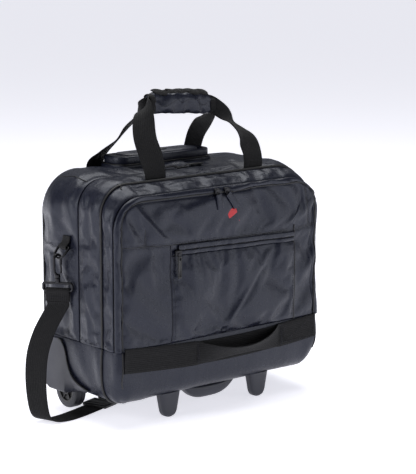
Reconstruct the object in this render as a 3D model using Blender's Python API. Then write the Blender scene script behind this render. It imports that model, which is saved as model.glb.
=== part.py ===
"""Rolling laptop case: a soft two-compartment bag on a moulded base with two wheels,
two feet, a two-stage trolley handle, paired carry handles and a clip-on shoulder strap.

Metres, +Z up. X runs to the bag's right as seen from the front, the front faces -Y,
and the origin is on the floor under the middle of the bag.
"""

import math

import bmesh
import bpy
from mathutils import Matrix, Vector

# Driving dimensions of the bag body
BODY_X = 0.207          # half width at the back and at the piping
BODY_TOP = 0.374        # top of the main compartment
SEAM_Z = 0.124          # double-stitched seam where the soft body meets the base
BASE_Z = 0.040          # underside of the base
FRONT_Y = -0.100        # outer face of the front panel
BACK_Y = 0.104          # outer face of the back panel
MAIN_ZIP_Y = -0.004     # plane of the main zip
PIPING_Y = -0.063       # plane of the piping and of the wall between the compartments
FRONT_ZIP_Y = -0.093    # plane of the front compartment's zip
FRONT_ZIP_X = 0.205
FRONT_ZIP_TOP = 0.356
FRONT_SLIDER_X = {"left": -0.0125, "right": 0.0068}
CORNER_R = 0.045        # top corners of the main compartment
FRONT_CORNER_R = 0.050
WALL = 0.0035
GAP = 0.0003            # clearance between neighbouring pieces

# Opening hinge line of both front sections, just in front of the pocket
HINGE_Y = -0.1043
HINGE_Z = SEAM_Z

# Running gear
WHEEL_X = 0.177
WHEEL_Y = 0.064
WHEEL_R = 0.029
WHEEL_W = 0.020
AXLE_R = 0.003
GUARD_Y = 0.1095         # rear face of the corner guards
FOOT_X = 0.092
FOOT_Y = -0.077

# Trolley
TUBE_X = 0.062
TUBE_Y = 0.065
GRIP_Z = 0.3868

# Webbing
WEB_W = 0.038
WEB_T = 0.002
STRAP_W = 0.036
HANDLE_X = 0.099
GRIP_TOP = 0.5015
STRAP_END_Z = 0.1862

# Clip chain, given for the right-hand side; the left one is its mirror image
RING_X = 0.2138
RING_Z = 0.2700
CHAIN_X = 0.2270
CHAIN_Y = 0.024
RING_LOW_Z = 0.2543
HOOK_R = 0.0062
WIRE = 0.0024


def clear_scene():
    for obj in list(bpy.data.objects):
        bpy.data.objects.remove(obj, do_unlink=True)


def material(name, rgb, roughness, metallic=0.0):
    made = bpy.data.materials.new(name)
    made.use_nodes = True
    shader = made.node_tree.nodes["Principled BSDF"]
    shader.inputs["Base Color"].default_value = (*rgb, 1.0)
    shader.inputs["Roughness"].default_value = roughness
    shader.inputs["Metallic"].default_value = metallic
    return made


def finish(name, shape, look, smooth=True):
    """Turns a bmesh into a named object with its material."""
    bmesh.ops.remove_doubles(shape, verts=shape.verts, dist=1e-6)
    bmesh.ops.recalc_face_normals(shape, faces=shape.faces)
    mesh = bpy.data.meshes.new(name)
    shape.to_mesh(mesh)
    shape.free()
    mesh.materials.append(look)
    obj = bpy.data.objects.new(name, mesh)
    bpy.context.scene.collection.objects.link(obj)
    if smooth:
        mesh.shade_smooth()
        mesh.set_sharp_from_angle(angle=math.radians(35))
    return obj


def boolean(obj, other, operation):
    """Applies a Boolean of other to obj and removes other."""
    modifier = obj.modifiers.new(operation, "BOOLEAN")
    modifier.operation = operation
    modifier.solver = "EXACT"
    modifier.object = other
    graph = bpy.context.evaluated_depsgraph_get()
    graph.update()
    mesh = bpy.data.meshes.new_from_object(obj.evaluated_get(graph))
    mesh.name = obj.name
    obj.modifiers.clear()
    obj.data = mesh
    bpy.data.objects.remove(other, do_unlink=True)
    return obj


def cut(obj, other):
    return boolean(obj, other, "DIFFERENCE")


def join(obj, other):
    return boolean(obj, other, "UNION")


def box(name, low, high, look, bevel=0.0, segments=2):
    low = Vector(low)
    high = Vector(high)
    shape = bmesh.new()
    bmesh.ops.create_cube(shape, size=1.0)
    bmesh.ops.scale(shape, vec=high - low, verts=shape.verts)
    bmesh.ops.translate(shape, vec=(high + low) / 2, verts=shape.verts)
    if bevel:
        bmesh.ops.bevel(
            shape, geom=shape.edges[:], offset=bevel, segments=segments,
            affect="EDGES", profile=0.5, clamp_overlap=True,
        )
    return finish(name, shape, look)


def cylinder(name, start, end, radius, look, sides=24, end_radius=None):
    start = Vector(start)
    end = Vector(end)
    shape = bmesh.new()
    turn = (end - start).to_track_quat("Z", "Y").to_matrix().to_4x4()
    bmesh.ops.create_cone(
        shape, cap_ends=True, segments=sides, radius1=radius,
        radius2=radius if end_radius is None else end_radius,
        depth=(end - start).length,
        matrix=Matrix.Translation((start + end) / 2) @ turn,
    )
    return finish(name, shape, look)


def prism(name, outline, axis, low, high, look, bevel=0.0):
    """Extrudes a closed outline. Axis "Y" reads it as (x, z) and "X" as (y, z)."""
    shape = bmesh.new()
    if axis == "Y":
        corners = [Vector((a, low, b)) for a, b in outline]
        run = Vector((0, high - low, 0))
    else:
        corners = [Vector((low, a, b)) for a, b in outline]
        run = Vector((high - low, 0, 0))
    face = shape.faces.new([shape.verts.new(corner) for corner in corners])
    made = bmesh.ops.extrude_face_region(shape, geom=[face])
    moved = [item for item in made["geom"] if isinstance(item, bmesh.types.BMVert)]
    bmesh.ops.translate(shape, vec=run, verts=moved)
    if bevel:
        bmesh.ops.bevel(
            shape, geom=shape.edges[:], offset=bevel, segments=1,
            affect="EDGES", clamp_overlap=True,
        )
    return finish(name, shape, look)


def loft(rings, closed=False):
    """Skins rings of points with the same count; open lofts get flat end faces."""
    shape = bmesh.new()
    made = [[shape.verts.new(point) for point in ring] for ring in rings]
    count = len(made[0])
    pairs = list(zip(made, made[1:]))
    if closed:
        pairs.append((made[-1], made[0]))
    for first, second in pairs:
        for i in range(count):
            j = (i + 1) % count
            shape.faces.new((first[i], first[j], second[j], second[i]))
    if not closed:
        shape.faces.new(made[0][::-1])
        shape.faces.new(made[-1])
    return shape


def wire(name, points, normal, radius, look, sides=8, closed=False):
    """A round wire along a path that lies in one plane with the given normal."""
    points = [Vector(point) for point in points]
    normal = Vector(normal).normalized()
    rings = []
    for i, point in enumerate(points):
        before = points[i - 1] if i or closed else point
        after = points[(i + 1) % len(points)] if i + 1 < len(points) or closed else point
        side = (after - before).normalized().cross(normal)
        ring = []
        for k in range(sides):
            angle = 2 * math.pi * k / sides
            ring.append(point + radius * (math.cos(angle) * side + math.sin(angle) * normal))
        rings.append(ring)
    return finish(name, loft(rings, closed), look)


def strip(name, stations, look, thickness=WEB_T, square=True):
    """Flat webbing through stations of (centre, width direction, width)."""
    rings = []
    for i, (centre, across, width) in enumerate(stations):
        before = stations[max(i - 1, 0)][0]
        after = stations[min(i + 1, len(stations) - 1)][0]
        along = (Vector(after) - Vector(before)).normalized()
        across = Vector(across).normalized()
        if square:
            across = (across - along * across.dot(along)).normalized()
        up = along.cross(across).normalized() * thickness / 2
        side = across * width / 2
        middle = Vector(centre)
        rings.append([
            middle - side - up, middle + side - up, middle + side + up, middle - side + up,
        ])
    return finish(name, loft(rings), look, smooth=False)


def smooth_path(points, steps):
    """Catmull-Rom curve through the points, with the same number of steps per span."""
    points = [Vector(point) for point in points]
    ends = [2 * points[0] - points[1]] + points + [2 * points[-1] - points[-2]]
    path = []
    for a, b, c, d in zip(ends, ends[1:], ends[2:], ends[3:]):
        for k in range(steps):
            t = k / steps
            path.append(0.5 * (
                2 * b + (c - a) * t + (2 * a - 5 * b + 4 * c - d) * t * t
                + (3 * b - a - 3 * c + d) * t ** 3
            ))
    path.append(points[-1])
    return path


def arch(half_width, top, radius, low, steps=6):
    """Open outline (x, z): up the left side, over both rounded corners, down the right."""
    points = [(-half_width, low)]
    for k in range(steps + 1):
        angle = math.pi - k * math.pi / 2 / steps
        points.append((
            radius - half_width + radius * math.cos(angle),
            top - radius + radius * math.sin(angle),
        ))
    return points + [(-x, z) for x, z in reversed(points)]


def arch_wall(name, rings, look):
    """A wall bent over the bag's sides and top, from rings of (y, half width, top, radius)."""
    skins = []
    for y, half, top, radius in rings:
        outer = [Vector((x, y, z)) for x, z in arch(half, top, radius, SEAM_Z + GAP)]
        inside = arch(half - WALL, top - WALL, radius - WALL, SEAM_Z + GAP)
        inner = [Vector((x, y, z)) for x, z in reversed(inside)]
        skins.append(outer + inner)
    shape = bmesh.new()
    made = [[shape.verts.new(point) for point in skin] for skin in skins]
    count = len(made[0])
    for first, second in zip(made, made[1:]):
        for i in range(count):
            j = (i + 1) % count
            shape.faces.new((first[i], first[j], second[j], second[i]))
    for ring in (made[0], made[-1]):
        for i in range(count // 2 - 1):
            shape.faces.new((ring[i], ring[i + 1], ring[-i - 2], ring[-i - 1]))
    return finish(name, shape, look)


def pivot(name, place, parent=None):
    """An empty on a joint's axis; pieces of the moving body hang from it."""
    empty = bpy.data.objects.new(name, None)
    bpy.context.scene.collection.objects.link(empty)
    empty.empty_display_size = 0.02
    empty.matrix_world = Matrix.Translation(place)
    hang(parent, empty)
    return empty


def hang(parent, *pieces):
    if parent is None:
        return
    bpy.context.view_layer.update()
    for piece in pieces:
        piece.parent = parent
        piece.matrix_parent_inverse = parent.matrix_world.inverted()


clear_scene()

FABRIC = material("coated_fabric", (0.060, 0.064, 0.090), 0.45)
LINING = material("lining", (0.10, 0.10, 0.11), 0.85)
BOARD = material("frame_board", (0.03, 0.03, 0.03), 0.6)
WEBBING = material("webbing", (0.012, 0.012, 0.013), 0.8)
MOULDED = material("moulded_plastic", (0.055, 0.057, 0.072), 0.5)
BLACK = material("black_plastic", (0.012, 0.012, 0.013), 0.45)
RUBBER = material("wheel_rubber", (0.05, 0.05, 0.056), 0.7)
TUBE = material("tube_aluminium", (0.42, 0.43, 0.45), 0.35, 1.0)
METAL = material("blackened_metal", (0.02, 0.02, 0.022), 0.35, 1.0)
RED = material("red_tag", (0.62, 0.02, 0.03), 0.5)


# ---- Body ---------------------------------------------------------------------------

def make_back_panel():
    outline = arch(0.200, BODY_TOP - 0.002, CORNER_R, SEAM_Z + GAP)
    return prism("back_panel", outline, "Y", BACK_Y - WALL, BACK_Y, FABRIC)


def make_rear_gusset():
    rings = [
        (MAIN_ZIP_Y + 0.0006, BODY_X, BODY_TOP, CORNER_R),
        (BACK_Y - WALL - GAP, BODY_X - 0.004, BODY_TOP - 0.001, CORNER_R),
    ]
    wall = arch_wall("rear_gusset", rings, FABRIC)
    for side in (-1, 1):
        hole = cylinder(
            "tube_hole", (side * TUBE_X, TUBE_Y, 0.36), (side * TUBE_X, TUBE_Y, 0.39),
            0.0085, FABRIC,
        )
        cut(wall, hole)
    return wall


def make_base_tub():
    tub = box(
        "base_tub", (-0.2055, FRONT_Y, BASE_Z), (0.2055, BACK_Y, SEAM_Z + 0.06),
        FABRIC, bevel=0.016, segments=3,
    )
    cut(tub, box("above", (-0.3, -0.2, SEAM_Z - GAP), (0.3, 0.2, 0.3), FABRIC))
    inside = box(
        "inside", (-0.2020, FRONT_Y + WALL, BASE_Z + WALL), (0.2020, BACK_Y - WALL, 0.3),
        FABRIC, bevel=0.0125, segments=2,
    )
    cut(tub, inside)
    for side in (-1, 1):
        xs = sorted((side * 0.1517, side * 0.3))
        cut(tub, box("corner", (xs[0], 0.0267, 0.0), (xs[1], 0.2, 0.0883), FABRIC))
    return tub


def guard_outline():
    """Side view (y, z) of the moulded corner guard: a long S-curve from the heel up."""
    sweep = smooth_path([
        (0.012, 0.0360, 0), (0.034, 0.0450, 0), (0.051, 0.0610, 0),
        (0.062, 0.0840, 0), (0.070, 0.1050, 0), (0.084, 0.1220, 0),
    ], 2)
    outline = [(point.x, point.y) for point in sweep]
    outline += [
        (GUARD_Y, 0.1220), (GUARD_Y, 0.0740), (0.1040, 0.0570), (0.0925, 0.0430), (0.0760, 0.0360),
    ]
    return outline


def make_wheel_housing(side, name):
    xs = sorted((side * 0.2095, side * 0.2060))
    guard = prism("wheel_housing_" + name, guard_outline(), "X", xs[0], xs[1], MOULDED)
    xs = sorted((side * 0.2080, side * 0.1520))
    block_outline = [
        (0.0270, 0.0360), (0.0270, 0.0880), (GUARD_Y - 0.0005, 0.0880),
        (GUARD_Y - 0.0005, 0.0742), (0.1036, 0.0573), (0.0922, 0.0434), (0.0760, 0.0363),
    ]
    join(guard, prism("block", block_outline, "X", xs[0], xs[1], MOULDED))
    xs = sorted((side * 0.2080, side * 0.1530))
    wrap = box("wrap", (xs[0], BACK_Y + GAP, 0.0800), (xs[1], GUARD_Y - 0.0002, 0.1215), MOULDED)
    join(guard, wrap)
    xs = sorted((side * 0.1900, side * 0.1640))
    well = cylinder(
        "well", (xs[0], WHEEL_Y, WHEEL_R), (xs[1], WHEEL_Y, WHEEL_R), WHEEL_R + 0.0045,
        MOULDED, sides=28,
    )
    cut(guard, well)
    lug_xs = sorted((side * 0.1635, side * 0.1520))
    join(guard, box("lug", (lug_xs[0], 0.053, 0.020), (lug_xs[1], 0.075, 0.050), MOULDED))
    bore = cylinder(
        "bore", (side * 0.140, WHEEL_Y, WHEEL_R), (side * 0.189, WHEEL_Y, WHEEL_R),
        AXLE_R + GAP, MOULDED, sides=16,
    )
    return cut(guard, bore)


def make_axle(side, name):
    axle = cylinder(
        "axle_" + name, (side * 0.1530, WHEEL_Y, WHEEL_R), (side * 0.1880, WHEEL_Y, WHEEL_R),
        AXLE_R, METAL, sides=16,
    )
    head = cylinder(
        "head", (side * 0.1875, WHEEL_Y, WHEEL_R), (side * 0.1892, WHEEL_Y, WHEEL_R),
        0.0052, METAL, sides=16,
    )
    return join(axle, head)


def make_foot(side, name):
    rings = []
    for z, half_x, half_y in ((0.0, 0.0100, 0.0055), (0.004, 0.0130, 0.0070), (0.0397, 0.0195, 0.0085)):
        ring = []
        for k in range(16):
            angle = 2 * math.pi * (k + 0.5) / 16
            corner = 0.7 if k % 4 in (1, 2) else 1.0
            reach_x = half_x * math.copysign(abs(math.cos(angle)) ** corner, math.cos(angle))
            reach_y = half_y * math.copysign(abs(math.sin(angle)) ** corner, math.sin(angle))
            ring.append((side * FOOT_X + reach_x, FOOT_Y + reach_y, z))
        rings.append(ring)
    return finish("foot_" + name, loft(rings), MOULDED)


def make_bottom_grip():
    outline = [(-0.056, 0.0397), (-0.054, 0.0280)]
    for k in range(9):
        x = -0.046 + 0.092 * k / 8
        outline.append((x, 0.0125 + 0.006 * (x / 0.046) ** 2))
    outline += [(0.054, 0.0280), (0.056, 0.0397)]
    grip = prism("bottom_grip", outline, "Y", -0.074, -0.050, BLACK)
    slot = box("slot", (-0.040, -0.09, 0.0235), (0.040, -0.03, 0.0345), BLACK, 0.0045, 1)
    return cut(grip, slot)


def make_grab_band():
    """Reinforcing webbing across the base front whose middle stands off as a grab loop."""
    y_flat = FRONT_Y - GAP - WEB_T / 2
    middle = SEAM_Z - 0.0195
    loop = []
    for k in range(13):
        t = k / 12
        bulge = math.sin(math.pi * t) ** 0.8
        place = (-0.052 + 0.168 * t, y_flat - 0.0135 * bulge, middle - 0.004 * bulge)
        loop.append((place, (0, 0, 1), WEB_W - 0.010 * bulge))
    stations = [((-0.194, y_flat, middle), (0, 0, 1), WEB_W)]
    stations += loop
    stations.append(((0.194, y_flat, middle), (0, 0, 1), WEB_W))
    return strip("grab_band", stations, WEBBING)


def make_inside():
    outline = arch(0.1990, BODY_TOP - 0.006, CORNER_R - 0.006, 0.0892)
    board = prism("lining_board", outline, "Y", 0.0420, 0.0450, BOARD)
    sleeve = box("laptop_sleeve", (-0.194, 0.014, 0.0892), (0.194, 0.0415, 0.345), LINING)
    cut(sleeve, box("laptop_space", (-0.190, 0.018, 0.0930), (0.190, 0.0395, 0.40), LINING))
    return board, sleeve


# ---- Front sections -----------------------------------------------------------------

def make_front_gusset():
    rings = [
        (FRONT_ZIP_Y, FRONT_ZIP_X, FRONT_ZIP_TOP, FRONT_CORNER_R),
        (PIPING_Y, BODY_X + 0.001, BODY_TOP - 0.001, CORNER_R),
        (MAIN_ZIP_Y - 0.0006, BODY_X, BODY_TOP, CORNER_R),
    ]
    return arch_wall("front_gusset", rings, FABRIC)


def make_divider():
    outline = arch(BODY_X - WALL - 0.0015, BODY_TOP - WALL - 0.0035, CORNER_R - 0.004, SEAM_Z + GAP)
    return prism("divider_panel", outline, "Y", PIPING_Y + 0.0005, PIPING_Y + 0.0030, LINING)


def make_front_panel():
    outline = arch(FRONT_ZIP_X - 0.0004, FRONT_ZIP_TOP - 0.0004, FRONT_CORNER_R, SEAM_Z + GAP)
    return prism("front_panel", outline, "Y", FRONT_Y, FRONT_ZIP_Y - GAP, FABRIC)


def make_front_pocket():
    low = (-0.1058, FRONT_Y - 0.0033, SEAM_Z + 0.0006)
    high = (0.1493, FRONT_Y - GAP, 0.2700)
    return box("front_pocket", low, high, FABRIC)


def make_zip_tag():
    outline = [(0.0030, 0.3222), (0.0278, 0.3207), (0.0328, 0.2995), (0.0129, 0.2986)]
    return prism("zip_tag", outline, "Y", FRONT_Y - 0.0040, FRONT_Y - 0.0010 - GAP, RED, bevel=0.0006)


# ---- Handles ------------------------------------------------------------------------

def handle_stations(foot, lower, bar_y, bar_width):
    """Right-hand half of a handle from the bag up into the grip, then its mirror image."""
    corner = Vector((0.070, bar_y, 0.4620))
    radius = 0.0200
    half = [(Vector(point), Vector((1, 0, 0)), WEB_W) for point in (foot, *lower)]
    for k in range(5):
        angle = k * math.pi / 2 / 4
        place = corner + Vector((radius * math.cos(angle), 0, radius * math.sin(angle)))
        across = Vector((math.cos(angle), 0, math.sin(angle)))
        width = WEB_W + (bar_width - WEB_W) * min(1.0, (k + 1) / 4)
        half.append((place, across, width))
    mirrored = []
    for place, across, width in reversed(half):
        mirrored.append((
            Vector((-place.x, place.y, place.z)), Vector((-across.x, across.y, across.z)), width,
        ))
    return half + mirrored


def make_handles():
    front = strip("front_handle", handle_stations(
        (HANDLE_X, -0.0590, BODY_TOP + 0.0012),
        ((HANDLE_X - 0.001, -0.0440, 0.4080), (HANDLE_X - 0.004, -0.0230, 0.4400)),
        -0.0065, 0.0260,
    ), WEBBING)
    rear = strip("rear_handle", handle_stations(
        (HANDLE_X, 0.0962, BODY_TOP + 0.0012),
        ((HANDLE_X, 0.0955, 0.3920), (HANDLE_X, 0.0640, 0.4200), (HANDLE_X - 0.002, 0.0300, 0.4440)),
        0.0030, 0.0200,
    ), WEBBING)
    return front, rear


def make_handle_wrap():
    """Padded grip sewn round the front handle; its open back takes the rear handle."""
    outline = [
        (-0.0120, 0.4625), (0.0085, 0.4625), (0.0085, 0.4655), (-0.0088, 0.4655),
        (-0.0088, GRIP_TOP - 0.003), (0.0085, GRIP_TOP - 0.003), (0.0085, GRIP_TOP), (-0.0120, GRIP_TOP),
    ]
    return prism("handle_wrap", outline, "X", -0.0650, 0.0650, FABRIC)


# ---- Trolley ------------------------------------------------------------------------

def tube(name, x, low, high, outer, inner):
    """A hollow tube, closed at neither end."""
    body = cylinder(name, (x, TUBE_Y, low), (x, TUBE_Y, high), outer, TUBE)
    return cut(body, cylinder("hollow", (x, TUBE_Y, low - 0.01), (x, TUBE_Y, high + 0.01), inner, TUBE))


def make_trolley_fixed():
    bracket = box(
        "tube_bracket", (-0.085, 0.052, BASE_Z + WALL + GAP), (0.085, 0.078, 0.0620), BLACK, 0.002, 1,
    )
    collar = box(
        "trolley_collar", (-0.104, 0.0370, BODY_TOP + GAP), (0.104, 0.0925, 0.3865), FABRIC, 0.003, 2,
    )
    outers = []
    for side, name in ((-1, "left"), (1, "right")):
        outers.append(tube(
            "outer_tube_" + name, side * TUBE_X, 0.0623, BODY_TOP - WALL - 0.001, 0.0095, 0.0083,
        ))
        hole = cylinder(
            "hole", (side * TUBE_X, TUBE_Y, 0.36), (side * TUBE_X, TUBE_Y, 0.40), 0.0085, FABRIC,
        )
        cut(collar, hole)
    return bracket, collar, outers


def make_trolley_moving():
    middles = []
    inners = []
    for side, name in ((-1, "left"), (1, "right")):
        middles.append(tube("mid_tube_" + name, side * TUBE_X, 0.0660, GRIP_Z - GAP, 0.0079, 0.0067))
        inners.append(tube("inner_tube_" + name, side * TUBE_X, 0.0670, GRIP_Z - GAP, 0.0063, 0.0051))
    grip = box("trolley_grip", (-0.0765, 0.0440, GRIP_Z), (0.0765, 0.0860, 0.4010), MOULDED, 0.005, 2)
    cut(grip, box("button_well", (-0.0163, 0.0567, 0.3930), (0.0163, 0.0733, 0.41), MOULDED))
    button = box("trolley_button", (-0.0160, 0.0570, 0.3975), (0.0160, 0.0730, 0.4035), BLACK, 0.001, 1)
    return middles, inners, grip, button


# ---- Wheels -------------------------------------------------------------------------

def make_wheel(side, name):
    near = side * (WHEEL_X - WHEEL_W / 2)
    far = side * (WHEEL_X + WHEEL_W / 2)

    def drum(label, start, end, radius, look, sides=24):
        """A cylinder on the wheel's axis."""
        return cylinder(label, (start, WHEEL_Y, WHEEL_R), (end, WHEEL_Y, WHEEL_R), radius, look, sides)

    core = drum("wheel_core_" + name, near, far, 0.0200, BLACK)
    cut(core, drum("bore", side * 0.1, side * 0.3, AXLE_R + GAP, BLACK, 16))
    cut(core, drum("dish", side * 0.1845, side * 0.2, 0.0140, BLACK))
    tyre = drum("tyre_" + name, near, far, WHEEL_R, RUBBER, 40)
    cut(tyre, drum("seat", side * 0.1, side * 0.3, 0.0203, RUBBER))
    return core, tyre


# ---- Zips ---------------------------------------------------------------------------

def make_main_zip(side, name):
    xs = sorted((side * 0.0006, side * 0.0110))
    slider = box(
        "main_slider_" + name, (xs[0], -0.0030, BODY_TOP + GAP), (xs[1], 0.0060, BODY_TOP + 0.0036),
        METAL, 0.0008, 1,
    )
    xs = sorted((side * 0.0114, side * 0.0440))
    puller = box(
        "main_puller_" + name, (xs[0], -0.0028, BODY_TOP + 0.0039), (xs[1], 0.0052, BODY_TOP + 0.0057),
        METAL, 0.0005, 1,
    )
    return slider, puller


def make_front_zip(name):
    middle = FRONT_SLIDER_X[name]
    xs = (middle - 0.0050, middle + 0.0050)
    slider = box(
        "front_slider_" + name, (xs[0], FRONT_Y - 0.0048, 0.3465), (xs[1], FRONT_Y - GAP, 0.3545),
        METAL, 0.0008, 1,
    )
    puller = box(
        "front_puller_" + name, (middle - 0.0044, FRONT_Y - 0.0066, 0.3230),
        (middle + 0.0044, FRONT_Y - 0.0046, 0.3462),
        FABRIC, 0.0005, 1,
    )
    return slider, puller


def make_pocket_zip():
    face = FRONT_Y - 0.0033
    slider = box(
        "pocket_slider", (-0.0990, face - 0.0038, 0.2600), (-0.0870, face - GAP, 0.2685), METAL, 0.0008, 1,
    )
    puller = box(
        "pocket_puller", (-0.0965, face - 0.0063, 0.2250), (-0.0895, face - 0.0041, 0.2597),
        BLACK, 0.0006, 1,
    )
    return slider, puller


# ---- Clip chains and shoulder strap -------------------------------------------------

def make_ring_tab(side, name):
    xs = sorted((side * (BODY_X + GAP), side * 0.2172))
    tab = box(
        "ring_tab_" + name, (xs[0], CHAIN_Y - 0.0095, 0.2655), (xs[1], CHAIN_Y + 0.0095, 0.2860),
        WEBBING, 0.001, 1,
    )
    bore = cylinder("bore", (side * RING_X, 0.0, RING_Z), (side * RING_X, 0.05, RING_Z), 0.0026, WEBBING, 12)
    return cut(tab, bore)


def make_ring(side, name):
    top = Vector((side * RING_X, CHAIN_Y, RING_Z))
    down = Vector((side * CHAIN_X, CHAIN_Y, RING_LOW_Z)) - top
    along = Vector((0, 1, 0))
    half = 0.0130
    points = [top - half * along, top - half / 3 * along, top + half / 3 * along, top + half * along]
    for k in range(1, 12):
        angle = math.pi * k / 12
        reach = math.copysign(abs(math.cos(angle)) ** 0.6, math.cos(angle))
        points.append(top + half * reach * along + down * math.sin(angle) ** 0.6)
    return wire("d_ring_" + name, points, along.cross(down), 0.0020, METAL, closed=True)


def make_hook(side, name):
    def at(out, z):
        return Vector((side * (CHAIN_X + out), CHAIN_Y, z))
    bend_z = RING_LOW_Z + 0.0020 + 0.0004 + WIRE - HOOK_R
    points = [
        at(0.0, 0.2272), at(0.0030, 0.2290), at(0.0056, 0.2325), at(HOOK_R, 0.2370), at(HOOK_R, bend_z),
    ]
    for k in range(1, 9):
        angle = math.pi * k / 8
        points.append(at(HOOK_R * math.cos(angle), bend_z + HOOK_R * math.sin(angle)))
    points.append(at(-HOOK_R, 0.2425))
    hook = wire("hook_" + name, points, (0, 1, 0), WIRE, METAL)
    join(hook, cylinder("barrel", at(0, 0.2235), at(0, 0.2285), 0.0045, METAL, 16))
    gate_line = [at(-0.0064, 0.2292), at(-0.0068, 0.2340), at(-HOOK_R, 0.2420)]
    gate = wire("hook_gate_" + name, gate_line, (0, 1, 0), 0.0017, METAL)
    return hook, gate


def make_clip(side, name):
    across = Vector((-side * 0.6, -0.8, 0.0))
    centre = Vector((side * CHAIN_X, CHAIN_Y, 0.2090))
    half = 0.0232
    tall = 0.0058
    bend = 0.0034
    points = []
    for corner, (sign_a, sign_z) in enumerate(((1, -1), (1, 1), (-1, 1), (-1, -1))):
        for k in range(4):
            angle = (corner - 1) * math.pi / 2 + math.pi / 2 * k / 3
            reach_a = sign_a * (half - bend) + bend * math.cos(angle)
            reach_z = sign_z * (tall - bend) + bend * math.sin(angle)
            points.append(centre + reach_a * across + reach_z * Vector((0, 0, 1)))
    loop = wire("strap_loop_" + name, points, across.cross(Vector((0, 0, 1))), 0.0022, METAL, closed=True)
    stem = cylinder("stem", (centre.x, centre.y, 0.2148), (centre.x, centre.y, 0.2230), 0.0042, METAL, 16)
    join(loop, stem)
    low_bar = centre - Vector((0, 0, tall))
    normal = across.cross(Vector((0, 0, 1)))
    rings = []
    for end in (-1, 1):
        ring = []
        for k in range(13):
            angle = math.radians(-60 + 300 * k / 12)
            ring.append(low_bar + 0.0046 * (math.cos(angle) * normal + math.sin(angle) * Vector((0, 0, 1))))
        ring.append(low_bar - 0.0021 * normal + Vector((0, 0, STRAP_END_Z - low_bar.z)))
        ring.append(low_bar + 0.0021 * normal + Vector((0, 0, STRAP_END_Z - low_bar.z)))
        rings.append([point + end * WEB_W / 2 * across for point in ring])
    fold = finish("strap_end_" + name, loft(rings), WEBBING)
    reach = across * 0.03
    cut(fold, cylinder("eye", low_bar - reach, low_bar + reach, 0.0026, WEBBING, 12))
    return loop, fold


ADJUSTER = Vector((-0.1380, 0.0400, 0.0013))
HEADING = Vector((0.95, 0.31, 0.0)).normalized()
ADJUSTER_HALF = 0.0165


def beside_adjuster(distance):
    return tuple(ADJUSTER + distance * HEADING)


# Shoulder strap from the left clip down to the floor, under the base and up to the right clip
LEFT_RUN = [
    (-0.2270, 0.0240, 0.1856), (-0.2271, 0.0241, 0.1790), (-0.2345, 0.0285, 0.1640),
    (-0.2460, 0.0340, 0.1400), (-0.2570, 0.0370, 0.1080), (-0.2630, 0.0350, 0.0740),
    (-0.2665, 0.0280, 0.0400), (-0.2660, 0.0200, 0.0140), (-0.2570, 0.0155, 0.0045),
    (-0.2330, 0.0150, 0.0013), (-0.2000, 0.0205, 0.0012),
    beside_adjuster(-ADJUSTER_HALF - 0.0008),
]
RIGHT_RUN = [
    beside_adjuster(ADJUSTER_HALF + 0.0020), beside_adjuster(ADJUSTER_HALF + 0.018),
    (-0.0980, 0.0690, 0.0013), (-0.0600, 0.1060, 0.0013), (-0.0100, 0.1340, 0.0013),
    (0.0500, 0.1530, 0.0013), (0.1150, 0.1560, 0.0013), (0.1750, 0.1380, 0.0013),
    (0.2250, 0.1020, 0.0030), (0.2520, 0.0690, 0.0180), (0.2620, 0.0480, 0.0480),
    (0.2600, 0.0400, 0.0900), (0.2490, 0.0350, 0.1350), (0.2350, 0.0280, 0.1660),
    (0.2271, 0.0241, 0.1790), (0.2270, 0.0240, 0.1856),
]


def make_strap():
    left_across = Vector((0.6, -0.8, 0))
    right_across = Vector((0.6, 0.8, 0))
    flat_left = Vector((HEADING.y, -HEADING.x, 0))
    left_path = smooth_path(LEFT_RUN, 3)
    left = []
    for i, place in enumerate(left_path):
        turn = min(1.0, max(0.0, (i / 3 - 3.0) / 5.0))
        across = left_across.lerp(flat_left, turn).normalized()
        left.append((place, across, STRAP_W))
    right_path = smooth_path(RIGHT_RUN, 3)
    right = []
    for i, place in enumerate(right_path):
        before = right_path[max(i - 1, 0)]
        after = right_path[min(i + 1, len(right_path) - 1)]
        along = after - before
        level = Vector((-along.y, along.x, 0)).normalized() if i else -flat_left
        turn = min(1.0, max(0.0, (i / 3 - 8.0) / 1.5))
        right.append((place, level.lerp(right_across, turn).normalized(), STRAP_W))
    strap_left = strip("strap_left", left, WEBBING, 0.0016, square=False)
    strap_right = strip("strap_right", right, WEBBING, 0.0016, square=False)
    return strap_left, strap_right


def make_strap_slider():
    """Adjuster with two slots, lying on the floor where the strap passes through it."""
    half = ADJUSTER_HALF
    body = box("strap_slider", (-half, -0.0225, 0.0004), (half, 0.0225, 0.0058), BLACK, 0.0012, 1)
    for x in (-0.0080, 0.0080):
        cut(body, box("slot", (x - 0.0035, -0.0195, -0.01), (x + 0.0035, 0.0195, 0.02), BLACK))
    turn = Matrix.Rotation(math.atan2(HEADING.y, HEADING.x), 4, "Z")
    body.data.transform(Matrix.Translation((ADJUSTER.x, ADJUSTER.y, 0)) @ turn)
    return body


# ---- Assembly -----------------------------------------------------------------------

make_back_panel()
make_rear_gusset()
make_base_tub()
make_bottom_grip()
make_grab_band()
make_inside()
make_trolley_fixed()

main_pivot = pivot("main_opening", (0, HINGE_Y, HINGE_Z))
front_pivot = pivot("front_opening", (0, HINGE_Y, HINGE_Z), main_pivot)
front_handle, rear_handle = make_handles()
hang(main_pivot, make_front_gusset(), make_divider(), front_handle, make_handle_wrap())
hang(front_pivot, make_front_panel(), make_front_pocket(), make_zip_tag())

first_stage = pivot("first_stage", (0, TUBE_Y, BODY_TOP))
second_stage = pivot("second_stage", (0, TUBE_Y, GRIP_Z), first_stage)
mid_tubes, inner_tubes, trolley_grip, trolley_button = make_trolley_moving()
hang(first_stage, *mid_tubes)
hang(second_stage, *inner_tubes, trolley_grip, trolley_button)

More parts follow.
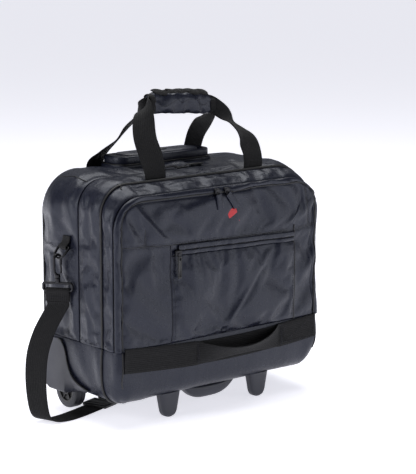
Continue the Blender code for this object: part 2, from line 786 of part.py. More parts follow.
for direction, label in ((-1, "left"), (1, "right")):
    make_wheel_housing(direction, label)
    make_axle(direction, label)
    make_foot(direction, label)
    make_ring_tab(direction, label)
    spin = pivot("wheel_" + label, (direction * WHEEL_X, WHEEL_Y, WHEEL_R))
    hang(spin, *make_wheel(direction, label))

    main_slider, main_puller = make_main_zip(direction, label)
    main_turn = pivot(
        "main_puller_turn_" + label, (direction * 0.0112, 0.0012, BODY_TOP + 0.0048), main_slider,
    )
    hang(main_turn, main_puller)
    front_slider, front_puller = make_front_zip(label)
    hang(front_pivot, front_slider)
    front_turn = pivot(
        "front_puller_turn_" + label, (FRONT_SLIDER_X[label], FRONT_Y - 0.0056, 0.3464), front_slider,
    )
    hang(front_turn, front_puller)

    swing = pivot("clip_swing_" + label, (direction * RING_X, CHAIN_Y, RING_Z))
    loop, fold = make_clip(direction, label)
    hang(swing, make_ring(direction, label), loop, fold)
    swivel = pivot("hook_swivel_" + label, (direction * CHAIN_X, CHAIN_Y, 0.2235), swing)
    hook, gate = make_hook(direction, label)
    hang(swivel, hook)
    gate_turn = pivot("gate_turn_" + label, (direction * (CHAIN_X - 0.0064), CHAIN_Y, 0.2295), swivel)
    hang(gate_turn, gate)

pocket_slider, pocket_puller = make_pocket_zip()
hang(front_pivot, pocket_slider)
pocket_turn = pivot("pocket_puller_turn", (-0.093, FRONT_Y - 0.0085, 0.2598), pocket_slider)
hang(pocket_turn, pocket_puller)

make_strap()
make_strap_slider()
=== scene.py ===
"""Looks of the rolling laptop case: soft panels, trims, webbing, hardware, light and camera.

Metres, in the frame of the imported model: +Z up, the front faces -Y, the floor is z = 0.
"""

import math

import bmesh
import bpy
import numpy as np
from mathutils import Matrix, Vector, noise
from mathutils.bvhtree import BVHTree


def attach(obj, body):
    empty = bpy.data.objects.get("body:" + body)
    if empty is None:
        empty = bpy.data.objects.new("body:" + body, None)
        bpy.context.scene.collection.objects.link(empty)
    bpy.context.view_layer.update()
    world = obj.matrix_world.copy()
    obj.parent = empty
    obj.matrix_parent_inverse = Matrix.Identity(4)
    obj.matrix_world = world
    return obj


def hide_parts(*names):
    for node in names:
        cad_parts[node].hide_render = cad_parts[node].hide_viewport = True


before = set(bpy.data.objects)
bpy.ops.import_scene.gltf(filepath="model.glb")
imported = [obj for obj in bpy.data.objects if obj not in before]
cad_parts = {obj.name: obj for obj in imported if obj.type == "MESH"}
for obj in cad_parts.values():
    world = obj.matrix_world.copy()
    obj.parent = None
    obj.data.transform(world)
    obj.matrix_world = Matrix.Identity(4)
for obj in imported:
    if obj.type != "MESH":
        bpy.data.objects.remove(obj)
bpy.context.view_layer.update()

SIDES = ((-1, "left"), (1, "right"))
FRONT_SLIDER_X = {"left": -0.0125, "right": 0.0068}

# Bag body
SEAM_Z = 0.1243          # where the soft body meets the base
BACK_Y = 0.1040
MAIN_ZIP_Y = -0.0040
PIPING_Y = -0.0630
FRONT_ZIP_Y = -0.0932
FRONT_Y = -0.1003
ZIP_GAP = 0.0012         # half the gap between the two lips of a zip
CLOTH = 0.0014           # thickness of the coated fabric

# Base and corner guards
BASE_HALF = 0.2066
BASE_CORNER = 0.0115     # radius of the base's upright corners
BASE_FLOOR = 0.0360
BASE_PROFILE = [         # (height, how far the skin draws in)
    (0.1240, 0.0000), (0.1210, -0.0006), (0.1120, -0.0012), (0.1000, -0.0016), (0.0900, -0.0018),
    (0.0800, -0.0016), (0.0690, -0.0008), (0.0600, 0.0008), (0.0520, 0.0034), (0.0455, 0.0078),
    (0.0405, 0.0132), (0.0375, 0.0200), (0.0364, 0.0280),
]
GUARD_INNER_X = 0.2050
GUARD_OUTER_X = 0.2106
HOUSING_X = 0.1530       # inner side of a wheel housing

# Outer pocket
POCKET_LEFT = -0.1052
POCKET_RIGHT = 0.1488
POCKET_TOP = 0.2605      # at its left end
POCKET_FALL = 0.0066     # how much lower the right end is

# Padded grip
GRIP_LEFT = -0.0690
GRIP_LENGTH = 0.128

# Webbing
WEB_W = 0.038
STRAP_W = 0.036
STRAP_T = 0.0016

# Clip chain, the same on both sides
RING_X = 0.2138
RING_Z = 0.2700
CHAIN_X = 0.2270
CHAIN_Y = 0.024
RING_LOW_Z = 0.2543
HOOK_R = 0.0062
WIRE = 0.0024
STRAP_END_Z = 0.1862

# Running gear and trolley
WHEEL_X = 0.177
WHEEL_Y = 0.064
WHEEL_R = 0.029
TUBE_X = 0.062
TUBE_Y = 0.065


# ---- Materials ----------------------------------------------------------------------

def node_material(name, colour, roughness, **sockets):
    """A Principled material and its node tree; the keywords are plain shader sockets."""
    made = bpy.data.materials.new(name)
    made.use_nodes = True
    tree = made.node_tree
    shader = tree.nodes["Principled BSDF"]
    shader.inputs["Base Color"].default_value = (*colour, 1.0)
    shader.inputs["Roughness"].default_value = roughness
    for socket, value in sockets.items():
        shader.inputs[socket.replace("_", " ")].default_value = value
    return made, tree, shader


def add_node(tree, kind, inputs=(), **settings):
    """Adds a node, sets its properties, and fills inputs from (socket, value or link)."""
    node = tree.nodes.new(kind)
    for key, value in settings.items():
        setattr(node, key, value)
    for socket, value in inputs:
        if isinstance(value, bpy.types.NodeSocket):
            tree.links.new(value, node.inputs[socket])
        else:
            node.inputs[socket].default_value = value
    return node


def coordinates(tree, output="Object", scale=(1, 1, 1)):
    where = add_node(tree, "ShaderNodeTexCoord")
    return add_node(
        tree, "ShaderNodeMapping", [("Vector", where.outputs[output]), ("Scale", scale)]
    ).outputs["Vector"]


def noise_node(tree, where, scale, detail=2.0, roughness=0.5):
    return add_node(tree, "ShaderNodeTexNoise", [
        ("Vector", where), ("Scale", scale), ("Detail", detail), ("Roughness", roughness),
    ]).outputs["Fac"]


def spread(tree, value, low, high):
    """Maps 0.3-0.7, where most of a noise lies, to low-high."""
    return add_node(tree, "ShaderNodeMapRange", [
        ("Value", value), ("From Min", 0.3), ("From Max", 0.7), ("To Min", low), ("To Max", high),
    ]).outputs["Result"]


def tint(tree, colour, factor_low, factor_high, value):
    """The colour scaled between two factors by a 0-1 value."""
    low = tuple(channel * factor_low for channel in colour)
    high = tuple(channel * factor_high for channel in colour)
    return add_node(tree, "ShaderNodeMix", [
        (0, value), (6, (*low, 1.0)), (7, (*high, 1.0)),
    ], data_type="RGBA").outputs[2]


def bump(tree, shader, height, distance, strength=1.0, normal=None):
    inputs = [("Height", height), ("Distance", distance), ("Strength", strength)]
    if normal is not None:
        inputs.append(("Normal", normal))
    made = add_node(tree, "ShaderNodeBump", inputs)
    tree.links.new(made.outputs["Normal"], shader.inputs["Normal"])
    return made.outputs["Normal"]


def coated_fabric(name, colour, roughness):
    """Tightly woven cloth under a thin matt coating: fine grain, faint creases, soft mottling."""
    made, tree, shader = node_material(
        name, colour, roughness, Specular_IOR_Level=0.40, Sheen_Weight=0.0,
        Specular_Tint=(0.86, 0.90, 1.0, 1.0),
    )
    where = coordinates(tree)
    mottle = noise_node(tree, where, 18.0, 4.0, 0.6)
    rub = noise_node(tree, where, 240.0, 3.0, 0.65)
    wear = add_node(tree, "ShaderNodeMath", [(0, mottle), (1, rub)], operation="MULTIPLY_ADD")
    wear.inputs[2].default_value = 0.25
    tree.links.new(tint(tree, colour, 0.80, 1.22, wear.outputs[0]), shader.inputs["Base Color"])
    tree.links.new(spread(tree, rub, roughness - 0.06, roughness + 0.08), shader.inputs["Roughness"])
    weave = add_node(
        tree, "ShaderNodeTexVoronoi", [("Vector", where), ("Scale", 1150.0)]
    ).outputs["Distance"]
    crease = noise_node(tree, coordinates(tree, scale=(1.0, 1.0, 0.55)), 42.0, 5.0, 0.55)
    first = bump(tree, shader, crease, 0.0016, 0.55)
    bump(tree, shader, weave, 0.00022, 0.6, first)
    return made


def webbing(name, colour):
    """Ribbed polyester webbing; the UV map runs in metres, along then across."""
    made, tree, shader = node_material(
        name, colour, 0.78, Sheen_Weight=0.04, Sheen_Roughness=0.5, Specular_IOR_Level=0.3
    )
    where = coordinates(tree, "UV")
    ribs = add_node(tree, "ShaderNodeTexWave", [
        ("Vector", where), ("Scale", 160.0), ("Distortion", 0.5),
    ], bands_direction="X").outputs["Fac"]
    cords = add_node(tree, "ShaderNodeTexWave", [
        ("Vector", where), ("Scale", 105.0), ("Distortion", 0.3),
    ], bands_direction="Y").outputs["Fac"]
    weave = add_node(tree, "ShaderNodeMath", [(0, ribs), (1, cords)], operation="MULTIPLY").outputs[0]
    fuzz = noise_node(tree, coordinates(tree), 700.0, 3.0)
    tree.links.new(tint(tree, colour, 0.65, 1.45, weave), shader.inputs["Base Color"])
    tree.links.new(spread(tree, fuzz, 0.68, 0.9), shader.inputs["Roughness"])
    first = bump(tree, shader, weave, 0.0006, 0.8)
    bump(tree, shader, fuzz, 0.0002, 0.5, first)
    return made


def moulded(name, colour, roughness, grain=900.0, depth=0.00012, **sockets):
    """Spark-textured moulded plastic with slightly polished patches."""
    made, tree, shader = node_material(name, colour, roughness, **sockets)
    where = coordinates(tree)
    spark = noise_node(tree, where, grain, 3.0, 0.6)
    patch = noise_node(tree, where, 35.0, 3.0)
    tree.links.new(tint(tree, colour, 0.86, 1.16, patch), shader.inputs["Base Color"])
    tree.links.new(spread(tree, patch, roughness - 0.07, roughness + 0.07), shader.inputs["Roughness"])
    bump(tree, shader, spark, depth, 0.7)
    return made


def metal(name, colour, roughness, brushed=(1, 1, 1)):
    made, tree, shader = node_material(name, colour, roughness, Metallic=1.0)
    streak = noise_node(tree, coordinates(tree, scale=brushed), 420.0, 4.0, 0.6)
    tree.links.new(tint(tree, colour, 0.8, 1.2, streak), shader.inputs["Base Color"])
    tree.links.new(spread(tree, streak, roughness - 0.08, roughness + 0.1), shader.inputs["Roughness"])
    bump(tree, shader, streak, 0.00008, 0.5)
    return made


def woven_lining(name, colour):
    made, tree, shader = node_material(name, colour, 0.85, Sheen_Weight=0.1)
    where = coordinates(tree)
    check = add_node(
        tree, "ShaderNodeTexVoronoi", [("Vector", where), ("Scale", 620.0)]
    ).outputs["Distance"]
    cloud = noise_node(tree, where, 30.0, 4.0)
    tree.links.new(tint(tree, colour, 0.8, 1.2, cloud), shader.inputs["Base Color"])
    tree.links.new(spread(tree, cloud, 0.78, 0.92), shader.inputs["Roughness"])
    bump(tree, shader, check, 0.0004, 0.6)
    return made


FABRIC = coated_fabric("coated_fabric", (0.0075, 0.0088, 0.0180), 0.31)
LINING = woven_lining("lining", (0.085, 0.085, 0.095))
BOARD = moulded("frame_board", (0.03, 0.03, 0.032), 0.6, 500.0, 0.0003)
WEBBING = webbing("webbing", (0.0050, 0.0050, 0.0060))
MOULDED = moulded("moulded_plastic", (0.020, 0.022, 0.034), 0.42)
BLACK = moulded("black_plastic", (0.010, 0.010, 0.011), 0.42, 1100.0)
RUBBER = moulded("wheel_rubber", (0.040, 0.041, 0.050), 0.62, 1400.0, 0.0001)
TUBE = metal("tube_aluminium", (0.46, 0.47, 0.49), 0.32, (1, 1, 0.02))
METAL = metal("blackened_metal", (0.035, 0.035, 0.038), 0.34)
TRIM = moulded("black_trim", (0.0035, 0.0035, 0.0045), 0.5, 1500.0, 0.0002)
THREAD = moulded("thread", (0.012, 0.0125, 0.020), 0.7, 1500.0, 0.0001)
RED = moulded("red_tag", (0.50, 0.008, 0.016), 0.40, 1300.0, 0.0001)


# ---- Mesh tools ---------------------------------------------------------------------

def place(obj, body, slot, *nodes):
    """Makes a piece ride on its body and stand for its CAD nodes; the slot argument is not used."""
    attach(obj, body)
    if nodes:
        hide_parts(*nodes)
    return obj


def new_object(name, mesh, looks, smooth=True, sharp=None):
    for look in looks if isinstance(looks, (list, tuple)) else [looks]:
        mesh.materials.append(look)
    obj = bpy.data.objects.new(name, mesh)
    bpy.context.scene.collection.objects.link(obj)
    if smooth:
        mesh.shade_smooth()
        if sharp is not None:
            mesh.set_sharp_from_angle(angle=math.radians(sharp))
    return obj


def from_data(name, points, faces, looks, smooth=True, sharp=None):
    mesh = bpy.data.meshes.new(name)
    mesh.from_pydata([tuple(point) for point in points], [], faces)
    mesh.update()
    return new_object(name, mesh, looks, smooth, sharp)


def from_bmesh(name, shape, looks, smooth=True, sharp=None):
    bmesh.ops.remove_doubles(shape, verts=shape.verts, dist=1e-6)
    bmesh.ops.recalc_face_normals(shape, faces=shape.faces)
    mesh = bpy.data.meshes.new(name)
    shape.to_mesh(mesh)
    shape.free()
    return new_object(name, mesh, looks, smooth, sharp)


def grid(name, rows, looks, closed=False):
    """A surface through rows of points with the same count; closed joins the row ends."""
    count = len(rows[0])
    points = [point for row in rows for point in row]
    faces = []
    for r in range(len(rows) - 1):
        for c in range(count if closed else count - 1):
            d = (c + 1) % count
            faces.append((r * count + c, r * count + d, (r + 1) * count + d, (r + 1) * count + c))
    return from_data(name, points, faces, looks)


def coords_of(obj):
    flat = np.empty(len(obj.data.vertices) * 3, np.float32)
    obj.data.vertices.foreach_get("co", flat)
    return flat.reshape(-1, 3).astype(float)


def normals_of(obj):
    flat = np.empty(len(obj.data.vertices) * 3, np.float32)
    obj.data.vertices.foreach_get("normal", flat)
    return flat.reshape(-1, 3).astype(float)


def set_coords(obj, points):
    obj.data.vertices.foreach_set("co", np.asarray(points, np.float32).ravel())
    obj.data.update()


def modify(obj, kind, **settings):
    made = obj.modifiers.new(kind.title(), kind)
    for key, value in settings.items():
        setattr(made, key, value)
    return made


def apply_all(obj):
    """Bakes the modifiers into the mesh."""
    graph = bpy.context.evaluated_depsgraph_get()
    graph.update()
    mesh = bpy.data.meshes.new_from_object(obj.evaluated_get(graph))
    mesh.name = obj.name
    obj.modifiers.clear()
    obj.data = mesh
    return obj


def boolean(obj, other, operation="DIFFERENCE"):
    modify(obj, "BOOLEAN", operation=operation, solver="EXACT", object=other)
    apply_all(obj)
    bpy.data.objects.remove(other, do_unlink=True)
    return obj


def block(name, low, high, looks, bevel=0.0, segments=3, sharp=None):
    low, high = Vector(low), Vector(high)
    shape = bmesh.new()
    bmesh.ops.create_cube(shape, size=1.0)
    bmesh.ops.scale(shape, vec=high - low, verts=shape.verts)
    bmesh.ops.translate(shape, vec=(high + low) / 2, verts=shape.verts)
    if bevel:
        bmesh.ops.bevel(
            shape, geom=shape.edges[:], offset=bevel, segments=segments, affect="EDGES", profile=0.5,
            clamp_overlap=True,
        )
    return from_bmesh(name, shape, looks, sharp=sharp)


def rod(name, start, end, radius, looks, sides=32, bevel=0.0):
    start, end = Vector(start), Vector(end)
    shape = bmesh.new()
    turn = (end - start).to_track_quat("Z", "Y").to_matrix().to_4x4()
    bmesh.ops.create_cone(
        shape, cap_ends=True, segments=sides, radius1=radius, radius2=radius, depth=(end - start).length,
        matrix=Matrix.Translation((start + end) / 2) @ turn,
    )
    if bevel:
        rims = [edge for edge in shape.edges if any(len(face.verts) > 4 for face in edge.link_faces)]
        bmesh.ops.bevel(shape, geom=rims, offset=bevel, segments=3, affect="EDGES", profile=0.5)
    return from_bmesh(name, shape, looks, sharp=40)


def smooth_path(points, steps):
    """Catmull-Rom curve through the points, with the same number of steps per span."""
    points = [Vector(point) for point in points]
    ends = [2 * points[0] - points[1]] + points + [2 * points[-1] - points[-2]]
    path = []
    for a, b, c, d in zip(ends, ends[1:], ends[2:], ends[3:]):
        for k in range(steps):
            t = k / steps
            path.append(0.5 * (
                2 * b + (c - a) * t + (2 * a - 5 * b + 4 * c - d) * t * t
                + (3 * b - a - 3 * c + d) * t ** 3
            ))
    path.append(points[-1])
    return path


def tube(name, points, radius, look, closed=False, resolution=3):
    """A round cord or wire as a mesh along the points."""
    data = bpy.data.curves.new(name, "CURVE")
    data.dimensions = "3D"
    data.bevel_depth = radius
    data.bevel_resolution = resolution
    data.use_fill_caps = True
    spline = data.splines.new("POLY")
    spline.points.add(len(points) - 1)
    for item, point in zip(spline.points, points):
        item.co = (*point, 1.0)
    spline.use_cyclic_u = closed
    spline.use_smooth = True
    curve = bpy.data.objects.new(name + "_guide", data)
    bpy.context.scene.collection.objects.link(curve)
    graph = bpy.context.evaluated_depsgraph_get()
    graph.update()
    mesh = bpy.data.meshes.new_from_object(curve.evaluated_get(graph))
    bpy.data.objects.remove(curve, do_unlink=True)
    mesh.materials.clear()
    mesh.name = name
    return new_object(name, mesh, look, sharp=50)


def strip(name, stations, look, thickness=0.002, curl=0.0, square=True):
    """Webbing through stations of (centre, width direction, width), with a UV map in metres."""
    lanes = (-1.0, -0.94, -0.6, -0.2, 0.2, 0.6, 0.94, 1.0)
    rows, lengths, run = [], [], 0.0
    for i, (centre, across, width) in enumerate(stations):
        centre = Vector(centre)
        before = Vector(stations[max(i - 1, 0)][0])
        after = Vector(stations[min(i + 1, len(stations) - 1)][0])
        along = (after - before).normalized()
        across = Vector(across).normalized()
        if square:
            across = (across - along * across.dot(along)).normalized()
        up = along.cross(across).normalized()
        if i:
            run += (centre - Vector(stations[i - 1][0])).length
        lengths.append(run)
        row = []
        for face in (-1, 1):
            for lane in lanes[::face]:
                edge = 0.55 if abs(lane) == 1.0 else 1.0
                lift = curl * (lane * lane - 0.5)
                row.append(centre + across * lane * width / 2 + up * (face * thickness / 2 * edge + lift))
        rows.append(row)
    count = len(rows[0])
    points = [point for row in rows for point in row]
    faces = []
    for r in range(len(rows) - 1):
        for c in range(count):
            d = (c + 1) % count
            faces.append((r * count + c, r * count + d, (r + 1) * count + d, (r + 1) * count + c))
    faces.append(tuple(range(count))[::-1])
    faces.append(tuple((len(rows) - 1) * count + c for c in range(count)))
    mesh = bpy.data.meshes.new(name)
    mesh.from_pydata([tuple(point) for point in points], [], faces)
    across_of = [lane for face in (-1, 1) for lane in lanes[::face]]
    layer = mesh.uv_layers.new(name="run")
    for loop in mesh.loops:
        row, lane = divmod(loop.vertex_index, count)
        layer.data[loop.index].uv = (lengths[row], across_of[lane] * stations[row][2] / 2)
    shape = bmesh.new()
    shape.from_mesh(mesh)
    bmesh.ops.recalc_face_normals(shape, faces=shape.faces)
    shape.to_mesh(mesh)
    shape.free()
    return new_object(name, mesh, look, sharp=60)


def join(name, objects):
    """Joins mesh objects into the first one."""
    shape = bmesh.new()
    looks = []
    for obj in objects:
        start = len(shape.faces)
        shape.from_mesh(obj.data)
        shape.faces.ensure_lookup_table()
        for look in obj.data.materials:
            if look not in looks:
                looks.append(look)
        for face in shape.faces[start:]:
            face.material_index = looks.index(obj.data.materials[face.material_index])
    mesh = bpy.data.meshes.new(name)
    shape.to_mesh(mesh)
    shape.free()
    for obj in objects:
        bpy.data.objects.remove(obj, do_unlink=True)
    return new_object(name, mesh, looks, smooth=False)


def resample(path, pitch):
    """(point, tangent) pairs at an even pitch along a polyline."""
    path = [Vector(point) for point in path]
    found, left = [], pitch / 2
    for a, b in zip(path, path[1:]):
        span = (b - a).length
        if span < 1e-9:
            continue
        while left <= span:
            found.append((a.lerp(b, left / span), (b - a) / span))
            left += pitch
        left -= span
    return found


def stitches(
    name, path, body, slot="coated_fabric", pitch=0.0042, length=0.0031, radius=0.00032, look=None
):
    """A row of thread stitches along a path that already lies on the surface."""
    points, faces = [], []
    for centre, along in resample(path, pitch):
        side = along.cross(Vector((0.31, 0.52, 0.79))).normalized()
        up = along.cross(side)
        base = len(points)
        for t, size in ((-0.5, 0.35), (-0.3, 1.0), (0.3, 1.0), (0.5, 0.35)):
            for k in range(6):
                angle = math.pi * k / 3
                points.append(
                    centre + along * length * t
                    + radius * size * (math.cos(angle) * side + math.sin(angle) * up)
                )
        for ring in range(3):
            for k in range(6):
                m = (k + 1) % 6
                faces.append(
                    (
                        base + ring * 6 + k, base + ring * 6 + m, base + ring * 6 + 6 + m,
                        base + ring * 6 + 6 + k
                    )
                )
        faces.append(tuple(base + k for k in range(5, -1, -1)))
        faces.append(tuple(base + 18 + k for k in range(6)))
    obj = from_data(name, points, faces, look or THREAD, sharp=60)
    return place(obj, body, slot)


def surface_of(*objects):
    """One search tree over the meshes of several objects."""
    points, faces = [], []
    for obj in objects:
        start = len(points)
        points += [vertex.co.copy() for vertex in obj.data.vertices]
        faces += [[start + i for i in polygon.vertices] for polygon in obj.data.polygons]
    return BVHTree.FromPolygons(points, faces)


def laid_on(tree, points, proud):
    """The points moved onto the surface and lifted off it by proud."""
    found = []
    for point in points:
        spot, normal, _, _ = tree.find_nearest(Vector(point))
        found.append(spot + normal * proud)
    return found


def onto_front(tree, points, proud):
    """The points moved along the bag's depth onto its front surface, and out by proud."""
    found = []
    for point in points:
        point = Vector(point)
        spot, _, _, _ = tree.ray_cast(Vector((point.x, -0.3, point.z)), Vector((0, 1, 0)))
        y = spot.y if spot is not None else FRONT_Y
        found.append(Vector((point.x, y - proud, point.z)))
    return found


# ---- Soft shape of the bag ----------------------------------------------------------

def arch(half, top, radius, low, lean=0.0):
    """Outline (x, z) from the left foot over both top corners to the right foot.

    lean lowers and rounds the right-hand corner, where the real bag slumps."""
    sides, turns, tops = 44, 14, 64
    right_radius = radius * (1 + 6 * lean)
    right_top = top - 0.25 * lean * radius
    points = []
    for k in range(sides):
        points.append((-half, low + (top - radius - low) * k / sides))
    for k in range(turns):
        angle = math.pi - math.pi / 2 * k / turns
        points.append(
            (-half + radius + radius * math.cos(angle), top - radius + radius * math.sin(angle))
        )
    for k in range(tops):
        t = k / tops
        x = -half + radius + (2 * half - radius - right_radius) * t
        points.append((x, top + (right_top - top) * t * t))
    for k in range(turns):
        angle = math.pi / 2 - math.pi / 2 * k / turns
        points.append((
            half - right_radius + right_radius * math.cos(angle),
            right_top - right_radius + right_radius * math.sin(angle),
        ))
    for k in range(sides + 1):
        points.append((half, right_top - right_radius + (low - right_top + right_radius) * k / sides))
    return points


def arch_rows(sections, low=SEAM_Z):
    """Rows of points from sections (y, half, top, radius, lean)."""
    return [
        [Vector((x, y, z)) for x, z in arch(half, top, radius, low, lean)] for y, half, top, radius,
        lean in sections
    ]


def between(sections, spacing):
    """Adds sections by smooth interpolation until neighbours are about spacing apart."""
    filled = []
    for first, second in zip(sections, sections[1:]):
        gap = math.dist(first[:3], second[:3])
        steps = max(1, round(gap / spacing))
        for k in range(steps):
            t = k / steps
            filled.append(tuple(a + (b - a) * t for a, b in zip(first, second)))
    filled.append(sections[-1])
    return filled


def fold_field(points, folds):
    """Height at each point from folds (start, end, width, height), fading at both ends."""
    points = np.asarray(points, float)
    total = np.zeros(len(points))
    for start, end, width, height in folds:
        start, end = np.array(start), np.array(end)
        run = end - start
        t = ((points - start) @ run) / (run @ run)
        inside = np.clip(t, 0, 1)
        gap = np.linalg.norm(points - (start + inside[:, None] * run), axis=1)
        fade = np.sin(np.pi * np.clip(inside * 0.86 + 0.07, 0, 1)) ** 0.6
        total += height * fade * np.exp(-(gap / width) ** 2)
    return total


def cloud(points, scale, seed):
    """Smooth seeded noise, about -1 to 1, at each point."""
    shift = Vector((seed * 7.3, seed * 3.1, seed * 5.7))
    return np.array([noise.noise(Vector(point) * scale + shift) for point in points])


def soften(obj, folds, rough=0.0, scale=14.0, seed=1, keep=None):
    """Pushes a panel along its normals by its folds and a little unevenness.

    keep maps points to 0-1, the share of the movement that is let through."""
    points = coords_of(obj)
    normals = normals_of(obj)
    height = fold_field(points, folds)
    if rough:
        height += rough * cloud(points, scale, seed)
    if keep is not None:
        height *= keep(points)
    set_coords(obj, points + normals * height[:, None])


def simulate(obj, hold, grow=0.02, pressure=0.6, frames=16, cap=0.004, bending=1.5):
    """Lets a panel settle as cloth a little too big for its seams.

    hold gives each point's pin weight, 1 where it is sewn down."""
    points = coords_of(obj)
    group = obj.vertex_groups.new(name="sewn")
    for index, weight in enumerate(hold(points)):
        if weight > 0:
            group.add([index], float(min(weight, 1.0)), "REPLACE")
    cloth = modify(obj, "CLOTH")
    settings = cloth.settings
    settings.quality = 6
    settings.mass = 0.25
    settings.tension_stiffness = 25
    settings.compression_stiffness = 25
    settings.shear_stiffness = 12
    settings.bending_stiffness = bending
    settings.shrink_min = -grow
    settings.use_pressure = True
    settings.uniform_pressure_force = pressure
    settings.vertex_group_mass = "sewn"
    settings.pin_stiffness = 8
    settings.effector_weights.gravity = 0
    cloth.point_cache.frame_start = 1
    cloth.point_cache.frame_end = frames
    scene = bpy.context.scene
    for number in range(1, frames + 1):
        scene.frame_set(number)
    graph = bpy.context.evaluated_depsgraph_get()
    moved = np.array([vertex.co for vertex in obj.evaluated_get(graph).data.vertices], float)
    obj.modifiers.remove(cloth)
    obj.vertex_groups.remove(group)
    scene.frame_set(1)
    step = moved - points
    size = np.linalg.norm(step, axis=1)
    step *= np.minimum(1.0, cap / np.maximum(size, 1e-9))[:, None]
    set_coords(obj, points + step)


# ---- Shoulder strap -----------------------------------------------------------------

ADJUSTER = Vector((-0.1380, 0.0400, 0.0013))
HEADING = Vector((0.95, 0.31, 0.0)).normalized()
ADJUSTER_HALF = 0.0165
LEFT_RUN = [
    (-0.2270, 0.0240, 0.1856), (-0.2271, 0.0241, 0.1790), (-0.2345, 0.0285, 0.1640),
    (-0.2460, 0.0340, 0.1400), (-0.2570, 0.0370, 0.1080), (-0.2630, 0.0350, 0.0740),
    (-0.2665, 0.0280, 0.0400), (-0.2660, 0.0200, 0.0140), (-0.2570, 0.0155, 0.0045),
    (-0.2330, 0.0150, 0.0013), (-0.2000, 0.0205, 0.0012),
    tuple(ADJUSTER - (ADJUSTER_HALF + 0.0008) * HEADING),
]
RIGHT_RUN = [
    tuple(ADJUSTER + (ADJUSTER_HALF + 0.0020) * HEADING),
    tuple(ADJUSTER + (ADJUSTER_HALF + 0.018) * HEADING),
    (-0.0980, 0.0690, 0.0013), (-0.0600, 0.1060, 0.0013), (-0.0100, 0.1340, 0.0013),
    (0.0500, 0.1530, 0.0013), (0.1150, 0.1560, 0.0013), (0.1750, 0.1380, 0.0013),
    (0.2250, 0.1020, 0.0030), (0.2520, 0.0690, 0.0180), (0.2620, 0.0480, 0.0480),
    (0.2600, 0.0400, 0.0900), (0.2490, 0.0350, 0.1350), (0.2350, 0.0280, 0.1660),
    (0.2271, 0.0241, 0.1790), (0.2270, 0.0240, 0.1856),
]


def strap_stations(run, across_at):
    path = smooth_path(run, 6)
    return path, [(point, across_at(path, i), STRAP_W) for i, point in enumerate(path)]


def left_across(_, i):
    """Width direction of the left run: it hangs edge-on, then turns to lie on the floor."""
    turn = min(1.0, max(0.0, (i / 6 - 3.0) / 5.0))
    return Vector((0.6, -0.8, 0)).lerp(Vector((HEADING.y, -HEADING.x, 0)), turn).normalized()


def right_across(path, i):
    """Width direction of the right run: flat on the floor, then turning to meet its clip."""
    along = path[min(i + 1, len(path) - 1)] - path[max(i - 1, 0)]
    level = Vector((-along.y, along.x, 0)).normalized() if i else Vector((-HEADING.y, HEADING.x, 0))
    turn = min(1.0, max(0.0, (i / 6 - 8.0) / 1.5))
    return level.lerp(Vector((0.6, 0.8, 0)), turn).normalized()


def make_strap():
    """The two runs of the shoulder strap, as webbing strips."""
    for name, run, across, exit_index in (
        ("strap_left", LEFT_RUN, left_across, 0), ("strap_right", RIGHT_RUN, right_across, -1),
    ):
        path, stations = strap_stations(run, across)
        band = strip("shoulder_" + name, stations, WEBBING, STRAP_T, curl=0.0003, square=False)
        place(band, "case", "webbing", name)


def make_adjuster():
    half = ADJUSTER_HALF
    body = block("strap_adjuster", (-half, -0.0225, 0.0004), (half, 0.0225, 0.0058), BLACK, 0.0018, 3)
    for x in (-0.0080, 0.0080):
        boolean(
            body, block("slot", (x - 0.0035, -0.0195, -0.01), (x + 0.0035, 0.0195, 0.02), BLACK, 0.001)
        )
    turn = Matrix.Rotation(math.atan2(HEADING.y, HEADING.x), 4, "Z")
    body.data.transform(Matrix.Translation((ADJUSTER.x, ADJUSTER.y, 0)) @ turn)
    body.data.shade_smooth()
    body.data.set_sharp_from_angle(angle=math.radians(35))
    place(body, "case", "black_plastic", "strap_slider")


# ---- Bag panels ---------------------------------------------------------------------

SIDE_FOLDS = [
    # Left side: folds that fall from the top corner, and the long pull from the ring tab
    ((-0.207, 0.020, 0.372), (-0.209, 0.006, 0.300), 0.009, 0.0022),
    ((-0.207, 0.042, 0.376), (-0.209, 0.030, 0.290), 0.011, -0.0026),
    ((-0.205, 0.066, 0.374), (-0.208, 0.052, 0.270), 0.012, 0.0022),
    ((-0.190, 0.010, 0.376), (-0.140, 0.012, 0.378), 0.008, -0.0016),
    ((-0.209, 0.030, 0.262), (-0.209, 0.002, 0.135), 0.011, 0.0036),
    ((-0.209, 0.050, 0.255), (-0.209, 0.020, 0.135), 0.012, -0.0032),
    ((-0.209, 0.075, 0.262), (-0.209, 0.062, 0.150), 0.014, 0.0022),
    ((-0.209, 0.092, 0.250), (-0.209, 0.080, 0.170), 0.012, -0.0026),
    # Top: shallow waves across the lid
    ((-0.120, 0.010, 0.376), (-0.090, 0.034, 0.376), 0.010, 0.0016),
    ((0.060, 0.010, 0.376), (0.120, 0.030, 0.376), 0.012, -0.0018),
    ((0.130, 0.060, 0.376), (0.190, 0.070, 0.360), 0.016, 0.0026),
]

